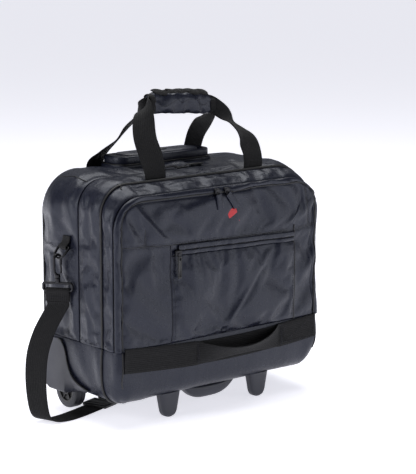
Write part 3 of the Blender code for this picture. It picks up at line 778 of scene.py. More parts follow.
FRONT_FOLDS = [
    # Left side of the front section, main zip to piping
    ((-0.205, -0.020, 0.372), (-0.210, -0.022, 0.290), 0.006, 0.0018),
    ((-0.205, -0.034, 0.372), (-0.210, -0.036, 0.280), 0.005, -0.0018),
    ((-0.205, -0.048, 0.370), (-0.210, -0.046, 0.300), 0.006, 0.0016),
    ((-0.210, -0.022, 0.270), (-0.210, -0.030, 0.140), 0.007, 0.0020),
    ((-0.210, -0.042, 0.250), (-0.210, -0.044, 0.150), 0.006, -0.0020),
    ((-0.210, -0.030, 0.210), (-0.210, -0.052, 0.135), 0.006, 0.0018),
    # Piping to front zip
    ((-0.206, -0.070, 0.360), (-0.210, -0.076, 0.270), 0.005, 0.0018),
    ((-0.200, -0.082, 0.350), (-0.210, -0.084, 0.290), 0.005, -0.0016),
    ((-0.210, -0.078, 0.250), (-0.210, -0.080, 0.140), 0.006, -0.0016),
    ((-0.170, -0.078, 0.366), (-0.120, -0.078, 0.366), 0.006, -0.0012),
    ((0.070, -0.076, 0.364), (0.150, -0.078, 0.362), 0.006, -0.0014),
    ((0.120, -0.030, 0.376), (0.160, -0.050, 0.374), 0.008, -0.0016),
    ((-0.060, -0.030, 0.376), (0.000, -0.046, 0.376), 0.010, -0.0012),
]

PANEL_FOLDS = [
    # Front panel: diagonals that fan out of the top left corner, seams, and slack at the right
    ((-0.178, -0.100, 0.346), (-0.118, -0.100, 0.286), 0.007, 0.0028),
    ((-0.186, -0.100, 0.338), (-0.150, -0.100, 0.280), 0.007, -0.0026),
    ((-0.190, -0.100, 0.326), (-0.172, -0.100, 0.286), 0.007, 0.0018),
    ((-0.150, -0.100, 0.344), (-0.075, -0.100, 0.300), 0.011, -0.0020),
    ((-0.196, -0.100, 0.262), (-0.120, -0.100, 0.190), 0.012, -0.0018),
    ((-0.196, -0.100, 0.220), (-0.110, -0.100, 0.150), 0.013, 0.0020),
    ((-0.190, -0.100, 0.170), (-0.115, -0.100, 0.130), 0.010, -0.0018),
    ((0.196, -0.100, 0.318), (0.150, -0.100, 0.290), 0.010, 0.0028),
    ((0.198, -0.100, 0.255), (0.158, -0.100, 0.215), 0.011, -0.0034),
    ((0.200, -0.100, 0.232), (0.158, -0.100, 0.180), 0.010, 0.0032),
    ((0.200, -0.100, 0.190), (0.160, -0.100, 0.150), 0.011, -0.0030),
    ((0.060, -0.100, 0.346), (0.095, -0.100, 0.300), 0.010, -0.0012),
    ((0.105, -0.100, 0.342), (0.150, -0.100, 0.305), 0.010, -0.0014),
]

BASE_FOLDS = [
    ((-0.204, -0.098, 0.092), (-0.150, -0.085, 0.046), 0.009, 0.0038),
    ((-0.206, -0.080, 0.100), (-0.176, -0.080, 0.044), 0.008, -0.0036),
    ((-0.208, -0.050, 0.112), (-0.200, -0.062, 0.060), 0.008, 0.0030),
    ((-0.180, -0.101, 0.080), (-0.090, -0.099, 0.064), 0.010, -0.0016),
    ((0.206, -0.096, 0.100), (0.180, -0.096, 0.060), 0.010, 0.0026),
    ((-0.206, 0.010, 0.115), (-0.206, -0.030, 0.060), 0.012, 0.0024),
]


def seam_hold(*planes, reach=0.012):
    """Weights that let a panel move only away from the seams, given as (axis, place)."""
    def keep(points):
        share = np.ones(len(points))
        for axis, spot in planes:
            share = np.minimum(share, np.clip(np.abs(points[:, axis] - spot) / reach, 0, 1))
        return share
    return keep


def skin(obj, body, slot, *nodes, lining=True):
    """Gives a finished panel its cloth thickness, with the lining on its inside."""
    if lining:
        obj.data.materials.append(LINING)
    modify(obj, "SUBSURF", levels=1, render_levels=1)
    modify(obj, "SOLIDIFY", thickness=CLOTH, offset=-1, material_offset=1 if lining else 0)
    apply_all(obj)
    return place(obj, body, slot, *nodes)


def slump(obj):
    """Draws in the right-hand side, which hangs hollow beside the pocket."""
    points = coords_of(obj)
    share = np.clip((points[:, 0] - 0.150) / 0.045, 0, 1) * np.clip((0.02 - points[:, 1]) / 0.06, 0, 1)
    points[:, 0] -= 0.0078 * share * np.exp(-((points[:, 2] - 0.228) / 0.070) ** 2)
    set_coords(obj, points)


def outward(obj, centre=(0, 0, 0.2)):
    """Turns the faces so that they look away from the middle of the bag."""
    shape = bmesh.new()
    shape.from_mesh(obj.data)
    score = sum(
        (face.calc_center_median() - Vector(centre)).dot(face.normal) * face.calc_area()
        for face in shape.faces
    )
    if score < 0:
        bmesh.ops.reverse_faces(shape, faces=shape.faces)
        shape.to_mesh(obj.data)
    shape.free()
    obj.data.update()
    return obj


def make_rear_shell():
    """Rear section: one skin over the sides and top that turns onto the back."""
    lip = MAIN_ZIP_Y + ZIP_GAP
    sections = [
        (lip + 0.0004, 0.2045, 0.3722, 0.0430, 0.0), (lip, 0.2066, 0.3742, 0.0450, 0.0),
        (lip + 0.0012, 0.2076, 0.3750, 0.0455, 0.0), (0.030, 0.2088, 0.3768, 0.0470, 0.02),
        (0.075, 0.2060, 0.3765, 0.0560, 0.03), (0.0900, 0.2030, 0.3758, 0.0600, 0.03),
        (0.0965, 0.2008, 0.3744, 0.0600, 0.03), (0.1010, 0.1978, 0.3716, 0.0590, 0.03),
        (0.1034, 0.1935, 0.3676, 0.0560, 0.03), (0.1040, 0.1880, 0.3622, 0.0520, 0.03),
    ]
    rows = arch_rows(between(sections, 0.0045))
    last = sections[-1]
    for k in range(1, 40):
        inset = 0.0048 * k if k < 39 else last[1] - 0.0001
        radius = min(0.9 * (last[1] - inset), max(0.004, last[3] - inset))
        row = (BACK_Y, last[1] - inset, last[2] - inset, radius, 0.0)
        rows += arch_rows([row])
    shell = outward(grid("rear_shell", rows, FABRIC))
    keep = seam_hold((1, lip), (2, SEAM_Z))
    back = lambda points: keep(points) * np.where(points[:, 1] > 0.0975, 0.35, 1.0)
    soften(shell, SIDE_FOLDS, 0.0016, 16.0, 2, back)
    simulate(
        shell,
        lambda p: np.where((p[:, 1] < 0.001) | (p[:, 2] < SEAM_Z + 0.003) | (p[:, 1] > 0.100), 1.0, 0.0),
        0.018, 0.5, cap=0.0035
    )
    return shell


def make_front_shell():
    """Front section between the main zip and the front zip, waisted where the piping runs."""
    lip = MAIN_ZIP_Y - ZIP_GAP
    rim = FRONT_ZIP_Y + ZIP_GAP
    sections = [
        (lip - 0.0004, 0.2045, 0.3722, 0.0430, 0.0), (lip, 0.2066, 0.3742, 0.0450, 0.0),
        (lip - 0.0012, 0.2078, 0.3752, 0.0455, 0.0), (-0.0200, 0.2096, 0.3772, 0.0465, 0.02),
        (-0.0420, 0.2096, 0.3768, 0.0470, 0.04), (-0.0560, 0.2084, 0.3744, 0.0460, 0.06),
        (-0.0612, 0.2066, 0.3718, 0.0445, 0.07), (-0.0648, 0.2066, 0.3706, 0.0445, 0.07),
        (-0.0690, 0.2086, 0.3704, 0.0460, 0.07), (-0.0790, 0.2100, 0.3664, 0.0480, 0.07),
        (rim + 0.0012, 0.2090, 0.3584, 0.0490, 0.07), (rim, 0.2080, 0.3572, 0.0485, 0.07),
        (rim + 0.0004, 0.2060, 0.3554, 0.0470, 0.07),
    ]
    shell = outward(grid("front_shell", arch_rows(between(sections, 0.0040)), FABRIC))
    slump(shell)
    keep = seam_hold((1, lip), (1, PIPING_Y), (1, rim), (2, SEAM_Z), reach=0.007)
    soften(shell, FRONT_FOLDS, 0.0012, 20.0, 5, keep)

    def hold(p):
        sewn = (p[:, 1] > lip - 0.0025) | (np.abs(p[:, 1] - PIPING_Y) < 0.0022)
        sewn |= (p[:, 1] < rim + 0.0022) | (p[:, 2] < SEAM_Z + 0.003)
        return np.where(sewn, 1.0, 0.0)

    simulate(shell, hold, 0.020, 0.5, cap=0.0028)
    return shell


# Depth of the front face at each place: seams sink, the fields between them swell
FRONT_SEAMS = [
    # (start, end) in x and z
    ((-0.1950, 0.2832), (-0.1060, 0.2775)), ((-0.1060, 0.2775), (0.1490, 0.2718)),
    ((0.1490, 0.2718), (0.1950, 0.2768)),
    ((-0.1530, 0.3060), (-0.1535, 0.2815)), ((0.1735, 0.3440), (0.1810, 0.2765)),
]


def seam_dip(points, seams, width=0.0022, depth=0.0013):
    """A narrow groove along each (start, end) seam in x and z."""
    flat = points[:, [0, 2]]
    total = np.zeros(len(points))
    for start, end in seams:
        start, end = np.array(start), np.array(end)
        run = end - start
        t = np.clip(((flat - start) @ run) / (run @ run), 0, 1)
        gap = np.linalg.norm(flat - (start + t[:, None] * run), axis=1)
        total = np.minimum(total, -depth * np.exp(-(gap / width) ** 2))
    return total


INNER_HALF = 0.1965
INNER_TOP = 0.3478
INNER_R = 0.030


def make_cover_shell():
    """Front cover: a rounded strip inside the zip, a sunk seam, and the broad face."""
    rim = FRONT_ZIP_Y - ZIP_GAP
    sections = [
        (rim - 0.0004, 0.2058, 0.3552, 0.0470, 0.07), (rim, 0.2080, 0.3570, 0.0485, 0.07),
        (rim - 0.0014, 0.2088, 0.3576, 0.0485, 0.07), (rim - 0.0046, 0.2078, 0.3570, 0.0475, 0.07),
        (FRONT_Y - 0.0012, 0.2046, 0.3546, 0.0440, 0.06),
        (FRONT_Y - 0.0018, 0.2010, 0.3518, 0.0400, 0.06),
        (FRONT_Y - 0.0006, 0.1978, 0.3492, 0.0350, 0.05),
        (FRONT_Y + 0.0010, INNER_HALF, INNER_TOP, INNER_R, 0.05),
        (FRONT_Y - 0.0004, 0.1950, 0.3462, 0.0280, 0.05),
        (FRONT_Y - 0.0014, 0.1925, 0.3436, 0.0260, 0.04),
    ]
    rows = arch_rows(between(sections, 0.0032))
    last = sections[-1]
    for k in range(1, 50):
        inset = 0.0038 * k
        top = last[2] - inset * (last[2] - SEAM_Z - 0.004) / last[1]
        rows += arch_rows(
            [(FRONT_Y - 0.0014, last[1] - inset, top, max(0.002, last[3] - inset * 0.6), 0.0)]
        )
    shell = outward(grid("front_cover_shell", rows, FABRIC))
    slump(shell)
    points = coords_of(shell)
    face = points[:, 1] < FRONT_Y + 0.0012
    inner = np.clip(
        (0.1925 - np.abs(points[:, 0])) / 0.05, 0, 1
    ) * np.clip((0.3436 - points[:, 2]) / 0.05, 0, 1)
    depth = seam_dip(points, FRONT_SEAMS) - 0.0006 + fold_field(points, PANEL_FOLDS)
    depth += 0.0012 * cloud(points, 13.0, 9) + 0.0018 * np.sqrt(inner)
    hold = np.clip((points[:, 2] - SEAM_Z) / 0.006, 0, 1)
    points[:, 1] -= np.where(face, depth * hold, 0.0)
    set_coords(shell, points)

    def sewn(p):
        edge = p[:, 1] > FRONT_Y + 0.0030
        flat = p[:, [0, 2]]
        for start, end in FRONT_SEAMS:
            start, end = np.array(start), np.array(end)
            t = np.clip(((flat - start) @ (end - start)) / ((end - start) @ (end - start)), 0, 1)
            edge |= np.linalg.norm(flat - (start + t[:, None] * (end - start)), axis=1) < 0.0035
        return np.where(
            edge | (p[:, 2] < SEAM_Z + 0.003) | (np.abs(np.abs(p[:, 0]) - INNER_HALF) < 0.001), 1.0, 0.0
        )

    simulate(shell, sewn, 0.012, 0.35, cap=0.0024)
    return shell


def base_rows():
    """Rows around the base from the seam down and under, as rounded rectangles in plan."""
    def ring(half_x, front, back, corner, z):
        points = []
        for cx, cy, start in (
            (half_x - corner, back - corner, 0.0), (-half_x + corner, back - corner, 0.5),
            (-half_x + corner, front + corner, 1.0), (half_x - corner, front + corner, 1.5),
        ):
            for k in range(9):
                angle = math.pi * (start + k / 16)
                points.append(Vector((cx + corner * math.cos(angle), cy + corner * math.sin(angle), z)))
        dense = []
        for a, b in zip(points, points[1:] + points[:1]):
            steps = max(1, round((b - a).length / 0.006)) if (b - a).length > 0.012 else 1
            dense += [a.lerp(b, k / steps) for k in range(steps)]
        return dense

    outer = ring(BASE_HALF, FRONT_Y + 0.0004, BACK_Y, BASE_CORNER, 0.0)
    centre = Vector((0, 0.002, 0))
    rows = []
    for z, inset in BASE_PROFILE:
        draw = 0.010 * max(0.0, min(1.0, (0.085 - z) / 0.045))
        row = []
        for point in outer:
            nx = max(-1.0, min(1.0, point.x / BASE_HALF)) ** 9
            ny = max(-1.0, min(1.0, (point.y - 0.0019) / 0.1021)) ** 9
            size = math.hypot(nx, ny) or 1.0
            corner = max(
                0.0, min(1.0, (abs(point.x) - 0.185) / 0.0216)
            ) * max(0.0, min(1.0, (-point.y - 0.080) / 0.020))
            pull = draw * corner
            row.append(Vector((
                point.x - inset * nx / size - math.copysign(pull, point.x),
                point.y - inset * ny / size + pull, z,
            )))
        rows.append(row)
    for k in range(1, 12):
        share = 1 - k / 12
        rows.append(
            [
                centre + (point - centre) * share + Vector(
                    (0, 0, BASE_FLOOR - point.z * share - centre.z)
                )
                for point in (Vector((p.x, p.y, 0)) for p in rows[12])
            ]
        )
    return rows


def make_base_shell():
    """Base: front face, sides and underside in one skin, cut away for the corner guards."""
    rows = base_rows()
    shell = grid("base_shell", rows, FABRIC, closed=True)
    shape = bmesh.new()
    shape.from_mesh(shell.data)
    shape.verts.ensure_lookup_table()
    count = len(rows[0])
    last = [shape.verts[(len(rows) - 1) * count + c] for c in range(count)]
    shape.faces.new(last)
    shape.to_mesh(shell.data)
    shape.free()
    outward(shell, (0, 0, 0.09))
    shape = bmesh.new()
    shape.from_mesh(shell.data)
    hidden = [face for face in shape.faces if behind_guard(face.calc_center_median())]
    bmesh.ops.delete(shape, geom=hidden, context="FACES")
    shape.to_mesh(shell.data)
    shape.free()
    keep = seam_hold((2, 0.1243), reach=0.01)
    flat_band = lambda p: keep(p) * np.where(
        (p[:, 1] < -0.09) & (p[:, 2] > 0.083) & (np.abs(p[:, 0]) < 0.19), 0.15, 1.0
    )
    soften(shell, BASE_FOLDS, 0.0014, 15.0, 4, flat_band)
    return shell


def make_panels():
    """All the soft panels, with their search tree for the trims."""
    rear = make_rear_shell()
    front = make_front_shell()
    cover = make_cover_shell()
    base = make_base_shell()
    trees = {
        "rear": surface_of(rear), "front": surface_of(front), "cover": surface_of(cover),
        "base": surface_of(base), "upper": surface_of(rear, front, cover),
        "all": surface_of(rear, front, cover, base),
    }
    skin(rear, "case", "coated_fabric", "rear_gusset", "back_panel")
    skin(front, "front_half", "coated_fabric", "front_gusset")
    skin(cover, "front_cover", "coated_fabric", "front_panel")
    skin(base, "case", "coated_fabric", "base_tub")
    return trees


def guard_curve():
    """Front edge (y, z) of a corner guard: a long S from under the base up to the body."""
    sweep = smooth_path([
        (-0.0225, 0.0465, 0), (0.0004, 0.0546, 0), (0.0164, 0.0670, 0),
        (0.0263, 0.0852, 0), (0.0318, 0.1038, 0), (0.0400, 0.1160, 0), (0.0500, 0.1205, 0),
    ], 6)
    return [(point.x, point.y) for point in sweep]


def behind_guard(point):
    """True where the base's skin lies under a corner guard or in a wheel well."""
    if abs(point.x) < 0.154:
        return False
    if point.z < 0.056 and point.y > 0.028:
        return True
    curve = guard_curve()
    if point.z < curve[0][1] or point.z > curve[-1][1] - 0.004:
        return False
    for (y0, z0), (y1, z1) in zip(curve, curve[1:]):
        if z0 <= point.z <= z1:
            edge = y0 + (y1 - y0) * (point.z - z0) / max(1e-9, z1 - z0)
            return point.y > edge + 0.022
    return False


def arch_path(y, half, top, radius, lean, low=SEAM_Z + 0.001):
    return [Vector((x, y, z)) for x, z in arch(half, top, radius, low, lean)]


def foot_of_piping(side):
    """Piping over the base: down the side, round the lower corner and under."""
    return smooth_path([
        (side * 0.2090, PIPING_Y, 0.1235), (side * 0.2085, PIPING_Y, 0.1080),
        (side * 0.2070, PIPING_Y, 0.0900),
        (side * 0.2040, PIPING_Y, 0.0720), (side * 0.1960, PIPING_Y, 0.0560),
        (side * 0.1860, PIPING_Y, 0.0450),
        (side * 0.1740, PIPING_Y, 0.0395), (side * 0.1500, PIPING_Y, 0.0385),
    ], 6)


def make_piping(trees):
    rim = laid_on(trees["front"], arch_path(PIPING_Y, 0.2066, 0.3712, 0.0445, 0.07), 0.0010)
    place(tube("piping_main", rim, 0.0021, TRIM), "front_half", "webbing")
    seam = laid_on(
        trees["front"], arch_path(PIPING_Y + 0.0034, 0.2080, 0.3730, 0.0450, 0.06, 0.1252), 0.0003
    )
    stitches("piping_stitches", seam, "front_half")
    for side, name in SIDES:
        place(
            tube(
                "piping_foot_" + name, laid_on(trees["base"], foot_of_piping(side), 0.0008), 0.0021, TRIM
            ),
            "case", "webbing"
        )
    # The dark seam inside the strip of the front cover, and its run over the base
    inner = arch_path(FRONT_Y + 0.0008, INNER_HALF + 0.0004, INNER_TOP + 0.0004, INNER_R, 0.05)
    place(
        tube("cover_seam", laid_on(trees["cover"], inner, 0.0002), 0.0013, TRIM), "front_cover", "webbing"
    )
    for side, name in SIDES:
        run = smooth_path([
            (side * 0.1970, FRONT_Y, 0.1235), (side * 0.1978, FRONT_Y, 0.1050),
            (side * 0.1985, FRONT_Y, 0.0880),
            (side * 0.1990, FRONT_Y, 0.0760), (side * 0.1975, FRONT_Y, 0.0660),
        ], 5)
        place(
            tube("base_seam_" + name, laid_on(trees["base"], run, 0.0001), 0.0011, TRIM), "case",
            "webbing"
        )
    back_edge = laid_on(trees["rear"], arch_path(0.1012, 0.1976, 0.3716, 0.0590, 0.03), 0.0006)
    place(tube("piping_back", back_edge, 0.0018, TRIM), "case", "webbing")


def tape(name, path, normals, width, body, proud=-0.0020):
    """A zip tape under the lips of a zip; its chain of small teeth is made by chain."""
    stations = []
    for i, (point, normal) in enumerate(zip(path, normals)):
        along = path[min(i + 1, len(path) - 1)] - path[max(i - 1, 0)]
        stations.append((point + normal * proud, along.cross(normal), width))
    return place(strip(name, stations, WEBBING, 0.0007), body, "webbing")


def chain(name, path, normals, body, pitch=0.0017):
    """Coil teeth of one side of a zip as short rounded bars."""
    points, faces = [], []
    for centre, along in resample(path, pitch):
        index = min(range(len(path)), key=lambda i: (path[i] - centre).length_squared)
        normal = normals[index]
        across = along.cross(normal).normalized()
        base = len(points)
        for a, b, c in (
            (-1, -1, 0), (1, -1, 0), (1, 1, 0), (-1, 1, 0), (-0.6, -0.8, 1), (0.6, -0.8, 1),
            (0.6, 0.8, 1), (-0.6, 0.8, 1)
        ):
            points.append(centre + along * a * 0.00048 + across * b * 0.0014 + normal * (c * 0.0009))
        for face in ((0, 3, 2, 1), (4, 5, 6, 7), (0, 1, 5, 4), (1, 2, 6, 5), (2, 3, 7, 6), (3, 0, 4, 7)):
            faces.append(tuple(base + i for i in face))
    return place(from_data(name, points, faces, BLACK, smooth=False), body, "black_plastic")


def radial(points):
    """Outward directions of the bag's outline at points on it."""
    found = []
    for i, point in enumerate(points):
        along = points[min(i + 1, len(points) - 1)] - points[max(i - 1, 0)]
        found.append(Vector((-along.z, 0, along.x)).normalized())
    return found


def make_zips():
    """Tapes and teeth of both zips; the main zip has a tape on each section."""
    main = arch_path(MAIN_ZIP_Y, 0.2048, 0.3724, 0.0440, 0.0)
    out = radial(main)
    for label, shift, body in (("rear", 0.0052, "case"), ("front", -0.0052, "front_half")):
        side = [point + Vector((0, shift, 0)) for point in main]
        tape("main_tape_" + label, side, out, 0.0100, body, -0.0006)
    chain("main_teeth", [point + Vector((0, 0.0002, 0)) for point in main], out, "case")
    front = arch_path(FRONT_ZIP_Y, 0.2060, 0.3552, 0.0480, 0.07)
    out = radial(front)
    tape(
        "front_tape", [point + Vector((0, 0.0030, 0)) for point in front], out, 0.0060, "front_half",
        -0.0008
    )
    chain("front_teeth", [point + Vector((0, 0.0006, 0)) for point in front], out, "front_half")


def make_pocket(trees):
    """Flat pocket on the front: bound sides, swollen field, and a zip band along its top."""
    low_x, high_x, low_z, high_z = POCKET_LEFT, POCKET_RIGHT, SEAM_Z + 0.0010, POCKET_TOP
    tree = trees["cover"]
    rows = []
    columns, levels = 70, 40
    for j in range(levels + 1):
        row = []
        for i in range(columns + 1):
            x = low_x + (high_x - low_x) * i / columns
            z = low_z + (high_z - POCKET_FALL * i / columns - low_z) * j / levels
            spot = onto_front(tree, [(x, 0, z)], 0)[0]
            edge = min(x - low_x, high_x - x, (high_z - low_z) * (1 - j / levels), z - low_z + 0.004)
            swell = 0.0007 + 0.0022 * min(1.0, max(0.0, edge) / 0.022) ** 0.6
            row.append(Vector((x, spot.y - swell, z)))
        rows.append(row)
    pocket = grid("front_pocket_panel", rows, FABRIC)
    outward(pocket, (0, 0.1, 0.2))
    folds = [
        ((-0.100, -0.103, 0.150), (-0.060, -0.103, 0.136), 0.012, 0.0012),
        ((0.120, -0.103, 0.262), (0.142, -0.103, 0.190), 0.012, 0.0012),
    ]
    soften(
        pocket, folds, 0.0010, 11.0, 12,
        lambda p: np.clip(
            np.minimum.reduce([p[:, 0] - low_x, high_x - p[:, 0], high_z - p[:, 2]]) / 0.02, 0, 1
        )
    )
    simulate(
        pocket,
        lambda p: np.where(
            (p[:, 0] < low_x + 0.003) | (p[:, 0] > high_x - 0.003) | (p[:, 2] > high_z - 0.010)
            | (p[:, 2] < low_z + 0.003),
            1.0, 0.0
        ),
        0.010, 0.3, cap=0.0016
    )
    trees["pocket"] = surface_of(pocket)
    skin(pocket, "front_cover", "coated_fabric", "front_pocket")
    for label, xs, zs in (
        ("left", (low_x, low_x), (0.2765, low_z)), ("right", (high_x, high_x), (0.2800, low_z)),
    ):
        run = [Vector((xs[0], FRONT_Y - 0.0006, zs[0] + (zs[1] - zs[0]) * k / 40)) for k in range(41)]
        run = onto_front(tree, run, 0.0003)
        look = THREAD if label == "left" else TRIM
        place(
            tube("pocket_seam_" + label, run, 0.0006 if label == "left" else 0.0013, look), "front_cover",
            "webbing"
        )
    for label in ("left", "right"):
        x = low_x + 0.0046 if label == "left" else high_x - 0.0046
        run = onto_front(
            trees["pocket"],
            [(x, 0, low_z + 0.003 + (high_z - low_z - 0.01) * k / 50) for k in range(51)], 0.0001
        )
        stitches("pocket_stitches_" + label, run, "front_cover")
    # Zip band: a tape with its teeth, under two folded lips
    band = [Vector((low_x + 0.014 + (high_x - low_x - 0.016) * k / 60, 0, 0)) for k in range(61)]
    for label, z0, z1, width in (("low", 0.2640, 0.2572, 0.0064), ("high", 0.2722, 0.2658, 0.0078)):
        lip = []
        for point in band:
            t = (point.x - band[0].x) / (band[-1].x - band[0].x)
            spot = onto_front(tree, [(point.x, 0, z0 + (z1 - z0) * t)], 0.0022)[0]
            lip.append((spot, Vector((0, 0, 1)), width))
        place(
            strip("pocket_lip_" + label, lip, FABRIC, 0.0014, curl=-0.0006), "front_cover",
            "coated_fabric"
        )
    centre = []
    for point in band:
        t = (point.x - band[0].x) / (band[-1].x - band[0].x)
        z = 0.2677 - 0.0068 * t
        centre.append(onto_front(tree, [(point.x, 0, z)], 0.0007)[0])
    tape("pocket_tape", centre, [Vector((0, -1, 0))] * len(centre), 0.0095, "front_cover", 0.0)
    chain("pocket_teeth", centre, [Vector((0, -1, 0))] * len(centre), "front_cover")


def make_seam_rows(trees):
    """Thread along the seams that show, laid on the finished surface."""
    for index, (start, end) in enumerate(FRONT_SEAMS):
        for side in (1, -1):
            if index > 2 and side < 0:
                continue
            run = [
                Vector(
                    (
                        start[0] + (end[0] - start[0]) * k / 20, -0.11,
                        start[1] + (end[1] - start[1]) * k / 20 + side * 0.0024
                    )
                )
                for k in range(21)
            ]
            if index > 2:
                run = [point + Vector((0.0024, 0, -0.0024)) for point in run]
            if index == 1 and side < 0:
                continue
            stitches(
                "front_stitches_%d_%s" % (index, "a" if side > 0 else "b"),
                onto_front(trees["cover"], run, 0.0001), "front_cover"
            )
        groove = [
            Vector(
                (start[0] + (end[0] - start[0]) * k / 20, -0.11, start[1] + (end[1] - start[1]) * k / 20)
            )
            for k in range(21)
        ]
        place(
            tube("front_seam_%d" % index, onto_front(trees["cover"], groove, -0.0001), 0.0006, TRIM),
            "front_cover", "webbing"
        )
    for side, name in SIDES:
        for label, points in (
            (
                "ring",
                [(side * 0.22, 0.098, 0.2690), (side * 0.22, 0.050, 0.2670), (side * 0.22, 0.004, 0.2645)]
            ),
            (
                "low",
                [(side * 0.22, 0.098, 0.1290), (side * 0.22, 0.045, 0.1275), (side * 0.22, 0.002, 0.1265)]
            ),
        ):
            for row, lift in enumerate((0.0, 0.0052)):
                run = smooth_path([(x, y, z - lift) for x, y, z in points], 14)
                run = laid_on(trees["rear"], run, 0.0002)
                stitches("side_%s_stitches_%s_%d" % (label, name, row), run, "case")
        run = smooth_path([(side * 0.22, -0.008, 0.1290), (side * 0.22, -0.058, 0.1290)], 20)
        stitches("front_low_stitches_" + name, laid_on(trees["front"], run, 0.0002), "front_half")
        run = smooth_path([(side * 0.22, -0.066, 0.1290), (side * 0.22, -0.091, 0.1285)], 12)
        stitches("rim_low_stitches_" + name, laid_on(trees["front"], run, 0.0002), "front_half")
    for label, tree, body, ys, corner in (
        ("rear", "rear", "case", (0.006, 0.096), (-0.194, 0.3725)),
        ("rim", "front", "front_half", (-0.088, -0.066), (-0.178, 0.372)),
    ):
        run = [Vector((corner[0], ys[0] + (ys[1] - ys[0]) * k / 20, corner[1] + 0.02)) for k in range(21)]
        laid = laid_on(trees[tree], run, 0.0001)
        place(tube("mitre_seam_" + label, laid, 0.0007, TRIM), body, "webbing")


# ---- Webbing: grab band, handles and tabs -------------------------------------------

def make_grab_band(trees):
    """Webbing across the base whose middle stands off as a slack, slightly twisted loop."""
    middle = 0.1048

    def drape(x):
        """Height of the band's middle: it hangs in a shallow curve between its ends."""
        return 0.1098 - 0.0115 * math.cos(math.pi * min(1.0, abs(x - 0.02) / 0.215) / 2)

    stations = []
    for k in range(86):
        x = -0.1955 + 0.391 * k / 85
        t = min(1.0, max(0.0, (x + 0.052) / 0.168))
        bulge = math.sin(math.pi * t) ** 0.8
        spot, _, _, _ = trees["base"].find_nearest(Vector((x, FRONT_Y - 0.002, middle)))
        y = spot.y - 0.0014
        sag = 0.0040 * bulge
        roll = 0.85 * bulge
        place_at = (x, y - 0.0130 * bulge, drape(x) - sag)
        stations.append((place_at, (0, -math.sin(roll), math.cos(roll)), WEB_W - 0.0135 * bulge))
    for k in range(4):
        stations.append(
            (
                (0.1968 + 0.0030 * math.sin(0.5 * k), stations[85][0][1] + 0.0015 * k, drape(0.1955)),
                (0, 0, 1), WEB_W
            )
        )
    place(
        strip("grab_band_webbing", stations, WEBBING, 0.0020, curl=0.0004), "case", "webbing", "grab_band"
    )
    under = [((-0.066 + 0.194 * k / 30, 0, 0), (0, 0, 1), WEB_W - 0.002) for k in range(31)]
    laid = []
    for point, across, width in under:
        spot, _, _, _ = trees["base"].find_nearest(Vector((point[0], FRONT_Y - 0.002, middle)))
        laid.append((Vector((point[0], spot.y - 0.0006, drape(point[0]))), across, width))
    place(strip("grab_band_backing", laid, WEBBING, 0.0010), "case", "webbing")
    # Bar tacks where the loop leaves the bag, and the box that is sewn at the right-hand end
    face = FRONT_Y - 0.0030
    for label, x in (("left", -0.054), ("right", 0.1205)):
        for row in range(3):
            run = [
                Vector((x + 0.0016 * row, face - 0.0006, drape(x) - 0.016 + 0.032 * k / 20))
                for k in range(21)
            ]
            run = laid_on(trees["base"], run, 0.0030)
            stitches("tack_%s_%d" % (label, row), run, "case", "webbing", 0.0030, 0.0024)
    corners = [
        (0.128, 0.0885), (0.190, 0.0885), (0.190, 0.1210), (0.128, 0.1210), (0.128, 0.0885),
        (0.190, 0.1210)
    ]
    for index, (a, b) in enumerate(zip(corners, corners[1:])):
        run = [
            Vector((a[0] + (b[0] - a[0]) * k / 20, face, a[1] + (b[1] - a[1]) * k / 20))
            for k in range(21)
        ]
        stitches(
            "band_box_%d" % index, laid_on(trees["base"], run, 0.0027), "case", "webbing", 0.0040, 0.0030
        )


def twisting(points, steps):
    """Stations for webbing from (centre, width direction, width) keys, all blended smoothly."""
    path = smooth_path([key[0] for key in points], steps)
    across = smooth_path([Vector(key[1]) for key in points], steps)
    widths = smooth_path([Vector((key[2], 0, 0)) for key in points], steps)
    return [(a, b.normalized(), c.x) for a, b, c in zip(path, across, widths)]


def grip_z(x):
    """Height of the middle of the grip, which hangs a little lower on its right."""
    return 0.4822 - 0.066 * (x + 0.065)


